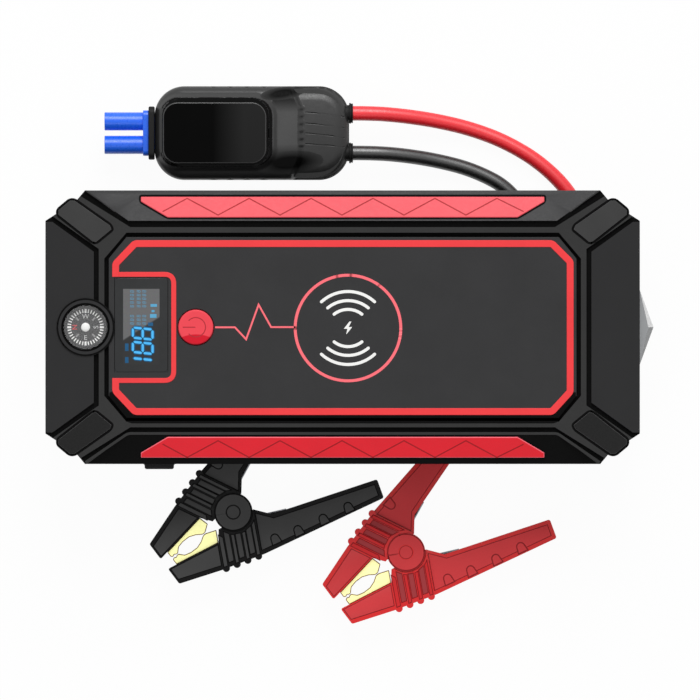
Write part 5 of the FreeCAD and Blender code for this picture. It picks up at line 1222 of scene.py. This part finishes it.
# %% Zig-zag lines
ZIG_START, ZIG_STEP = 187.1, 30.98
ZIG_PEAK, ZIG_VALLEY = 198.3, 215.0
ZIG_MIRROR = 655.7
INLAY_RISE = 0.41 * MM
INLAY_SHADE_REACH = 0.7 * MM


def top_plane(node_name, rise=0.0):
    """The plane z = a + b x + c y through a solid's upward faces, by least squares, moved up by a rise."""
    mesh = nodes[node_name].data
    up = rows_of(mesh.polygons, "normal")[:, 2] > 0.8
    used = np.unique([v for face, wanted in zip(mesh.polygons, up) if wanted for v in face.vertices])
    chosen = rows_of(mesh.vertices, "co")[used]
    known = np.column_stack([np.ones(len(chosen)), chosen[:, :2]])
    plane = np.linalg.lstsq(known, chosen[:, 2], rcond=None)[0]
    return lambda outline: plane[0] + rise + np.asarray(outline) @ plane[1:]


zig = [(162.6, 211.6)]
zig += [(ZIG_START + ZIG_STEP * i, ZIG_VALLEY if i % 2 else ZIG_PEAK) for i in range(11)]
zig += [(523.6, 211.5)]
zag = [(x, ZIG_MIRROR - y) for x, y in zig]
for label, line, node_name in (("far", zig, "top_inlay"), ("near", zag, "bottom_inlay")):
    outline = strip(spot(line), 0.42 * MM)
    plates(
        label + "_inlay_line", [outline], top_plane(node_name), 0.04 * MM, inlay_line,
    )
    # Painted shade: a dark ring round the inlay, where its seat lies in shade.
    inlay_shade_ring = rounded_outline(inset(top_outline(node_name), -INLAY_SHADE_REACH), CORNER_ROUND)
    plates(
        label + "_inlay_painted_shade_ring", [inlay_shade_ring], top_plane(node_name, -INLAY_RISE), 0.05 * MM, painted_shadow_black,
    )

# %% [markdown]
# ## Flashlight lens
# The lens on the end is cut like a gem: one facet on top and one below, and two on each side
# that meet in an upright edge. Twelve points and their joins give it, and each side's facets
# have their own painted tone: painted light on the far side, painted shade on the near side.

# %% Gem lens
lens_low, lens_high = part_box("flashlight_lens")
lens_y = (lens_low.y + lens_high.y) / 2
lens_z = (lens_low.z + lens_high.z) / 2
ridge_x = shell_high.x + 3.2 * MM
RIDGE_HALF = 9.0 * MM
TIP_HALF = 2.6 * MM
seat_corners = rectangle((lens_low.y, lens_low.z), (lens_high.y, lens_high.z))
lens_points = [(x, y, z) for x in (lens_low.x, shell_high.x) for y, z in seat_corners]
for x, half in ((ridge_x, RIDGE_HALF), (lens_high.x, TIP_HALF)):
    lens_points += [(x, lens_y, lens_z + half), (x, lens_y, lens_z - half)]
lens_faces = [
    (0, 3, 2, 1), (0, 1, 5, 4), (1, 2, 6, 5), (2, 3, 7, 6), (3, 0, 4, 7),
    (7, 8, 6), (4, 5, 9), (6, 8, 10), (7, 10, 8), (5, 11, 9), (4, 9, 11), (5, 6, 10, 11), (4, 11, 10, 7),
]
lens_mesh = bpy.data.meshes.new("flashlight_gem")
lens_mesh.from_pydata(np.array(lens_points).tolist(), [], lens_faces)
finish_mesh(lens_mesh, [lens_clear, lens_painted_light, lens_painted_shade], smooth_angle=5.0)
lens_normals = rows_of(lens_mesh.polygons, "normal")
leans = lens_normals[:, 1] * (lens_normals[:, 0] > 0.3)
# Painted light on the far facets, painted shade on the near ones.
paint(lens_mesh, np.select([leans > 0.1, leans < -0.1], [1, 2], 0))
lens_piece = place_piece("flashlight_gem", lens_mesh, "set")
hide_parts("flashlight_lens")
round_edges(lens_piece, 0.12)
print("lens facets:", len(lens_faces))

# %% [markdown]
# ## Control box
# The upper half of the box is one flowing surface. Seen from above it has a raised seat for a
# polished cap, a flat step with a scalloped end, and a lower round end with four fine grooves.
# It is worked out as a height over the plan: rings of points from the rim to the middle, each
# lifted by a sum of smooth steps.

# %% Outline and steps of the box
BOX_HALF = np.array([35.3, 17.0])
BOX_CORNER = 10.9
BOX_SEAM = 9.8
ROUND_EDGE = 5.2
HIGH_PART = 17.5
LOW_END = 15.9
SEAT_RISE = 1.7
TROUGH_DEPTH = 0.35


def smooth(value, start, stop):
    """A step that rises from 0 to 1 between two values, along 3t squared less 2t cubed."""
    t = np.clip((value - start) / (stop - start), 0, 1)
    return t * t * (3 - 2 * t)


def inside(x, y, half, corner, centre=(0.0, 0.0)):
    """Depth inside a rounded rectangle: corner less the distance to the inner rectangle, in mm."""
    qx = np.abs(x - centre[0]) - (half[0] - corner)
    qy = np.abs(y - centre[1]) - (half[1] - corner)
    outside = np.hypot(np.maximum(qx, 0), np.maximum(qy, 0))
    return corner - outside - np.minimum(np.maximum(qx, qy), 0)


def box_outline(count):
    """Points of the box's rounded rectangle at even steps of its run."""
    straight = BOX_HALF - BOX_CORNER
    corners = enumerate(((1, 1), (-1, 1), (-1, -1), (1, -1)))
    runs = [arc(straight * side, BOX_CORNER, 90 * i, 90 * i + 90, count // 8) for i, side in corners]
    trail = np.vstack(runs + [runs[0][:1]])
    steps = np.concatenate([[0], np.cumsum(np.linalg.norm(np.diff(trail, axis=0), axis=1))])
    even = np.linspace(0, steps[-1], count, endpoint=False)
    return np.column_stack([np.interp(even, steps, trail[:, 0]), np.interp(even, steps, trail[:, 1])])


def box_height(x, y):
    """Height over the plan in mm: round edge, low round end, scalloped step, cap seat and its trough."""
    fall = np.clip(1 - inside(x, y, BOX_HALF, BOX_CORNER) / ROUND_EDGE, 0, 1)
    edge_drop = ROUND_EDGE * (1 - np.sqrt(1 - fall ** 2)) * 0.85
    scallop = 0.7 * np.sin(np.pi * (y - 2.5) / 2.75) ** 2 * smooth(np.abs(y - 2.5), 8.0, 6.8)
    shoulder = 2.4 * smooth(np.abs(y), 8.5, 16.0)
    end_step = 1 - smooth(x + shoulder, 16.2, 18.8 + scallop)
    low_end = LOW_END - 0.0032 * np.maximum(x - 17, 0) ** 2 - 0.006 * y ** 2
    seat_depth = inside(x, y, (22.4, 14.4), 9.0, (-12.6, 0.4))
    trough = inside(x, y, (19.6, 12.2), 6.2, (-13.5, 0.3))
    height = low_end + (HIGH_PART - low_end) * end_step
    height += SEAT_RISE * smooth(seat_depth, 0.0, 2.6) - TROUGH_DEPTH * smooth(trough, -0.4, 0.2)
    return np.maximum(height - edge_drop, BOX_SEAM + 2.0)


# %% [markdown]
# Rings run from the rim to the middle, close together so that the scallops and grooves stay
# crisp. The wall goes down to the seam, in under it and up to a flat ceiling, so the shell is
# closed. Small grip grooves dent both long sides.

# %% The box's upper skin
ROUND = 520
BOX_CEILING = 14.0
BOX_INNER_SHARE = 0.94
GRIP_PLACES = (-13.9, -7.8, -1.8, 4.3)
GRIP_WIDTH = 0.9
GRIP_DEPTH = 0.5
outline = box_outline(ROUND)
dents = sum(np.exp(-((outline[:, 0] - place) / GRIP_WIDTH) ** 2) for place in GRIP_PLACES)
on_long_side = smooth(np.abs(outline[:, 1]), 15.5, 16.8)
outline[:, 1] -= np.sign(outline[:, 1]) * GRIP_DEPTH * dents * on_long_side
share = np.concatenate([1 - np.linspace(0, 1, 22)[:-1] ** 1.5 * 0.16, np.linspace(0.84, 0.0, 96)])
x = outline[:, 0] * share[:, None]
y = outline[:, 1] * share[:, None]
top_rings = np.stack([x, y, box_height(x, y)], axis=-1)
rim_height = top_rings[0, :, 2]
wall = [(outline, BOX_SEAM + (rim_height - BOX_SEAM) * part) for part in np.linspace(0.2, 1, 5)]
inner = outline * BOX_INNER_SHARE
under = [(inner * 0.0, BOX_CEILING), (inner, BOX_CEILING), (inner, BOX_SEAM), (outline, BOX_SEAM)]
lower_rings = np.stack([
    np.column_stack([ring, np.broadcast_to(height, ROUND)]) for ring, height in under + wall
])
rings = np.concatenate([lower_rings, top_rings]) * MM + (*box_middle, 0.0)
box_finishes = [box_nylon, box_painted_shade_nylon, step_painted_light_and_shade, fillet_painted_shade_nylon]
box_skin = skin("control_box_top", rings, box_finishes, "set", close_columns=True)
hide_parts("box_upper_shell")
print("box skin: %d points" % rings[..., 0].size)

# %% Tones of the box's skin, with painted shade and painted light
local = (rows_of(box_skin.data.polygons, "center")[:, :2] - box_middle) / MM
upward = rows_of(box_skin.data.polygons, "normal")[:, 2] > 0.8
round_cap = inside(local[:, 0], local[:, 1], (21.0, 13.2), 7.4, (-13.5, 0.0)) > 0
on_step = (np.abs(local[:, 0] - 12.0) < 4.6) & (np.abs(local[:, 1] - 2.0) < 12.0)
# Painted shade on the cap's seat (1), painted light on the step (2) and painted shade in the fillet pools
# (3).
tone = np.select([upward & round_cap, upward & on_step], [1, 2], 0)
for pool in SHADE_POOLS:
    from_middle = turned(local - pool["middle"], -math.radians(pool["turn"])) / pool["half"]
    tone[(np.linalg.norm(from_middle, axis=1) < 1) & (tone != 1)] = 3
paint(box_skin.data, tone)


def on_box(outline):
    """Height of the box's upper skin under points of the table."""
    local = (outline - box_middle) / MM
    return box_height(local[:, 0], local[:, 1]) * MM


# %% Grooves, lower half and cap of the box
GROOVE_START = 19.4
GROOVE_REACH = 14.2
groove_run = np.linspace(0, 1, 14)
groove_lines, groove_lights = [], []
for start, stop in ((7.6, 6.0), (3.6, 1.9), (0.0, -1.6), (-3.9, -4.9)):
    along = start + (stop - start) * groove_run ** 1.4
    line = np.column_stack([GROOVE_START + GROOVE_REACH * groove_run, along])
    groove_lines.append(strip(line * MM + box_middle, 0.3 * MM))
    groove_lights.append(strip((line - (0, 0.3)) * MM + box_middle, 0.24 * MM))
# The four grooves are dark films: painted shade.
plates("box_groove_painted_shade_films", groove_lines, on_box, 0.04 * MM, box_painted_shade_nylon)
# Pale strips beside the grooves: painted highlight.
plates("box_groove_painted_highlights", groove_lights, on_box, 0.03 * MM, groove_edge_painted_highlight)
softened("box_lower_shell", 0.3, box_nylon)
# The cap's bevel faces carry the painted highlight.
softened("box_cap", 0.4, cap_black_painted_reflection, edge_material=cap_edge)
print("grooves:", len(groove_lines))

# %% [markdown]
# ## Plug and bushings
# The plug is glossy blue nylon with two barrels, and its collar is black rubber. Each lead comes
# out of a short stepped rubber bushing, which is a profile turned about the lead's own line.

# %% Plug, collar and bushings
softened("plug_body", 0.3, plug_nylon)
softened("plug_collar", 0.45, bushing_rubber)
for colour in ("red", "black"):
    bushing_low, bushing_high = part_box(colour + "_bushing")
    line = (bushing_high.x, (bushing_low.y + bushing_high.y) / 2, (bushing_low.z + bushing_high.z) / 2)
    length = float(bushing_high.x - bushing_low.x) / MM
    profile = np.array([
        (0.0, -length), (3.0, -length), (3.0, -1.4), (3.55, -1.4), (3.75, -1.25), (3.78, -0.85),
        (3.45, -0.7), (3.45, -0.55), (3.62, -0.4), (3.55, -0.15), (3.3, 0.0), (0.0, 0.0),
    ]) * MM
    bushing = revolved(
        colour + "_bushing_stepped", profile, line, bushing_rubber, "set", axis=0, steps=64,
    )
    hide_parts(colour + "_bushing")

# %% [markdown]
# ## Clamps
# Levers are glass-filled nylon with glossy, well-rounded edges. Each flat of a lever is a low
# plate of its own, set in from the edge, and its slanting sides read as the line round it.
# Jaws are stamped brass with darker brown edges.

# %% Levers, jaws and rivets
lever_finishes = {
    "black": {
        "face": black_lever, "slot": black_lever, "rib": black_lever, "edge": black_lever_edge,
        "line": black_lever_line,
    },
    "red": {
        "face": red_lever, "slot": red_lever_slot, "rib": red_lever_rib, "edge": red_lever_edge,
        "line": red_lever_line,
    },
}
for colour, finish in lever_finishes.items():
    riding = {"upper": "set", "lower": colour + "_lower"}
    for side, body in riding.items():
        softened("%s_%s_lever" % (colour, side), 0.7, finish["edge"], body)
    for side, body in riding.items():
        softened("%s_%s_jaw" % (colour, side), 0.3, jaw_brass, body, jaw_edge)
    softened(colour + "_rivet", 0.2, finish["face"], "set", finish["line"])

# %% [markdown]
# A torsion spring sits round each rivet, with one leg on each lever. Each one here is a plain
# copy of its solid with smooth shading; the ends of its coil across the rivet are worked out but
# not used, so the copy does not follow the moving lever.

# %% Springs round the rivets
CLAMP_TURN = math.radians(37.0)
COIL_SHARE = 2.0 * MM
clamp_pivots = {"black": np.array([-42.25, -57.06]) * MM, "red": np.array([20.47, -71.63]) * MM}
for colour, pivot in clamp_pivots.items():
    mesh = nodes[colour + "_spring"].data.copy()
    mesh.materials.clear()
    finish_mesh(mesh, [spring_steel])
    spring = bpy.data.objects.new(colour + "_torsion_spring", mesh)
    bpy.context.scene.collection.objects.link(spring)
    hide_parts(colour + "_spring")
    across = turned((0.0, COIL_SHARE), CLAMP_TURN)
    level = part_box(colour + "_spring")[0].z
    start, end = [(*(pivot + way).tolist(), level) for way in (across, -across)]
    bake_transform(spring)
print("springs blended:", len(clamp_pivots))

# %% [markdown]
# The flats are drawn in the clamp's own frame: u runs from the rivet to the handles, v across.
# The ribs lean by 26.7 degrees, so they have a frame of their own, across and along them.

# %% Outlines of the flats
RIB_LEAN = math.radians(26.7)
RIB_MIDDLES = (6.35, 2.38, -1.72)
RIB_WIDE = 1.5
SLOT_MIDDLES = (4.35, 0.25, -3.85)
SLOT_WIDE = 2.2
SIDE_BAND = (-6.1, 1.8)
GRIP_LEAN = math.radians(192.0)
EDGE_START, EDGE_FALL = 18.55, 0.1848
jaw_face = [(-30.7, 2.75), (-11.4, 6.05), (-15.0, 13.1), (-30.7, 7.6)]
handle_face = inset(
    [(6.4, 3.6), (10.7, 9.0), (48.9, 21.9), (46.79, 28.79), (7.5, 20.6), (-1.15, 18.55)],
    (1.0, 1.4, 1.4, 1.5, 1.3, 0.3),
)


def rib_plate(middle, wide, inner, outer_gap):
    """A strip along the ribs: from a radius about the rivet to a gap inside the lever's outer edge."""
    far, near = middle + wide / 2, middle - wide / 2
    starts = [math.sqrt(max(inner ** 2 - across ** 2, 0)) for across in (far, near)]
    stops = [EDGE_START - EDGE_FALL * across - outer_gap for across in (far, near)]
    return turned([(far, starts[0]), (far, stops[0]), (near, stops[1]), (near, starts[1])], RIB_LEAN)


def grip_outline(centre):
    """A D: a half circle on a square foot that points to the outer edge."""
    return turned(np.vstack([arc((0, 0), 1.7, 10, 170, 7), [(-2.1, -2.4), (2.1, -2.4)]]), GRIP_LEAN) + centre


def to_table(points, pivot, side):
    """Mirrors the lower lever, turns clamp coordinates by the clamp's angle and moves them to its pivot."""
    return turned(np.asarray(points, float) * (1, side) * MM, CLAMP_TURN) + pivot


# %% Flats of the levers
HANDLE_TOP = 11.1 * MM
HEAD_TOP = 12.5 * MM
SLOT_FLOOR = 11.9 * MM
DISC_TOP = 13.0 * MM
ribs = [rib_plate(middle, RIB_WIDE, 8.0, 0.4) for middle in RIB_MIDDLES] + [rib_plate(*SIDE_BAND, 9.8, 0.6)]
slots = [rib_plate(middle, SLOT_WIDE, 7.9, 1.6) for middle in SLOT_MIDDLES]
grip_rows = {"lower": [(6.4, 16.6), (14.9, 19.2), (24.7, 21.4), (34.5, 23.4)], "upper": [(6.0, 16.9)]}
for colour, pivot in clamp_pivots.items():
    finish = lever_finishes[colour]
    for lever, side, body in (("upper", 1, "set"), ("lower", -1, colour + "_lower")):
        grips = [grip_outline(centre) for centre in grip_rows[lever]]
        flats = (
            ("jaw_flat", [jaw_face], HEAD_TOP, 0.2, 0.3, "face"),
            ("ribs", ribs, HEAD_TOP, 0.25, 0.3, "rib"),
            ("slot_floors", slots, SLOT_FLOOR, 0.1, 0.25, "slot"),
            ("handle_flat", [handle_face], HANDLE_TOP, 0.08, 0.3, "face"),
            ("grips", grips, HANDLE_TOP + 0.06 * MM, 0.1, 0.45, "face"),
        )
        for label, outlines, level, rise, line, tone in flats:
            framed(
                "%s_%s_%s" % (colour, lever, label), [to_table(outline, pivot, side) for outline in outlines],
                level, rise * MM, line * MM, [finish[tone], finish["line"]], body,
            )
    disc_line = bands(disc(pivot, 6.65 * MM, 72), 0.5 * MM)
    disc_flat = bands(disc(pivot, 4.55 * MM, 72), 3.6 * MM)
    plates(colour + "_disc_line", disc_line, DISC_TOP, 0.03 * MM, finish["line"], "set")
    plates(colour + "_disc_flat", disc_flat, DISC_TOP, 0.06 * MM, finish["face"], "set")
print("clamps dressed")

# %% [markdown]
# ## Table and light
# The table is plain white. A share of its colour is its own light for the camera and for
# mirrors, so that it stays white while shadows still fall on it. Two soft lamps light the set:
# a large one from the far side and a weak one from the near side.

# %% Rays that see the surroundings


def seen_directly(tree):
    """1 for rays from the camera, from mirrors and through clear pieces, and 0 for soft light."""
    rays = add_node(tree, "ShaderNodeLightPath")
    seen = rays.outputs["Is Camera Ray"]
    for kind in ("Is Glossy Ray", "Is Transmission Ray"):
        more = add_node(tree, "ShaderNodeMath", {"operation": "MAXIMUM"}, i0=seen, i1=rays.outputs[kind])
        seen = more.outputs[0]
    return seen


# %% Table
FLOOR_HALF = 4.0
FLOOR_LEVEL = -0.1 * MM
OWN_LIGHT = 0.96
floor_mesh = bpy.data.meshes.new("table")
floor_corners = rectangle((-FLOOR_HALF, -FLOOR_HALF), (FLOOR_HALF, FLOOR_HALF))
floor_mesh.from_pydata([(x, y, FLOOR_LEVEL) for x, y in floor_corners], [], [(0, 1, 2, 3)])
floor = bpy.data.objects.new("table", floor_mesh)
bpy.context.scene.collection.objects.link(floor)
table_material = bpy.data.materials.new("table_white_card")
table_material.use_nodes = True
tree = table_material.node_tree
tree.nodes.clear()
card = add_node(tree, "ShaderNodeBsdfDiffuse", Color=linear("#f2f2f2"))
own_light = add_node(tree, "ShaderNodeEmission", Color=(1.0, 1.0, 1.0, 1.0), Strength=1.0)
share = add_node(tree, "ShaderNodeMath", {"operation": "MULTIPLY"}, i0=seen_directly(tree), i1=OWN_LIGHT)
mix = add_node(
    tree, "ShaderNodeMixShader", i0=share.outputs[0], i1=card.outputs[0], i2=own_light.outputs[0],
)
add_node(tree, "ShaderNodeOutputMaterial", Surface=mix.outputs[0])
floor_mesh.materials.append(table_material)

# %% Lamps


def soft_lamp(name, place, size, power):
    """A square area lamp that looks at the middle of the set."""
    data = bpy.data.lights.new(name, "AREA")
    data.energy = power
    data.size = size
    lamp = bpy.data.objects.new(name, data)
    lamp.location = place
    bpy.context.scene.collection.objects.link(lamp)
    lamp.rotation_mode = "QUATERNION"
    bpy.context.view_layer.update()
    lamp.rotation_quaternion = lamp.location.to_track_quat("Z", "Y")


soft_lamp("far_softbox", (0.1, 1.25, 1.15), 1.0, 23.0)
soft_lamp("near_fill", (-0.5, -0.9, 1.4), 1.2, 5.0)

# %% World
AMBIENT = 0.38
world = bpy.data.worlds.new("studio")
world.use_nodes = True
tree = world.node_tree
tree.nodes.clear()
strength = add_node(tree, "ShaderNodeMapRange", Value=seen_directly(tree), To_Min=AMBIENT, To_Max=1.0)
background = add_node(
    tree, "ShaderNodeBackground", Color=(1.0, 1.0, 1.0, 1.0), Strength=strength.outputs[0],
)
add_node(tree, "ShaderNodeOutputWorld", Surface=background.outputs[0])
bpy.context.scene.world = world
bpy.context.scene.view_settings.view_transform = "Standard"
print("lamps placed")

# %% [markdown]
# ## End

# %% Finish
print("scene dressed")
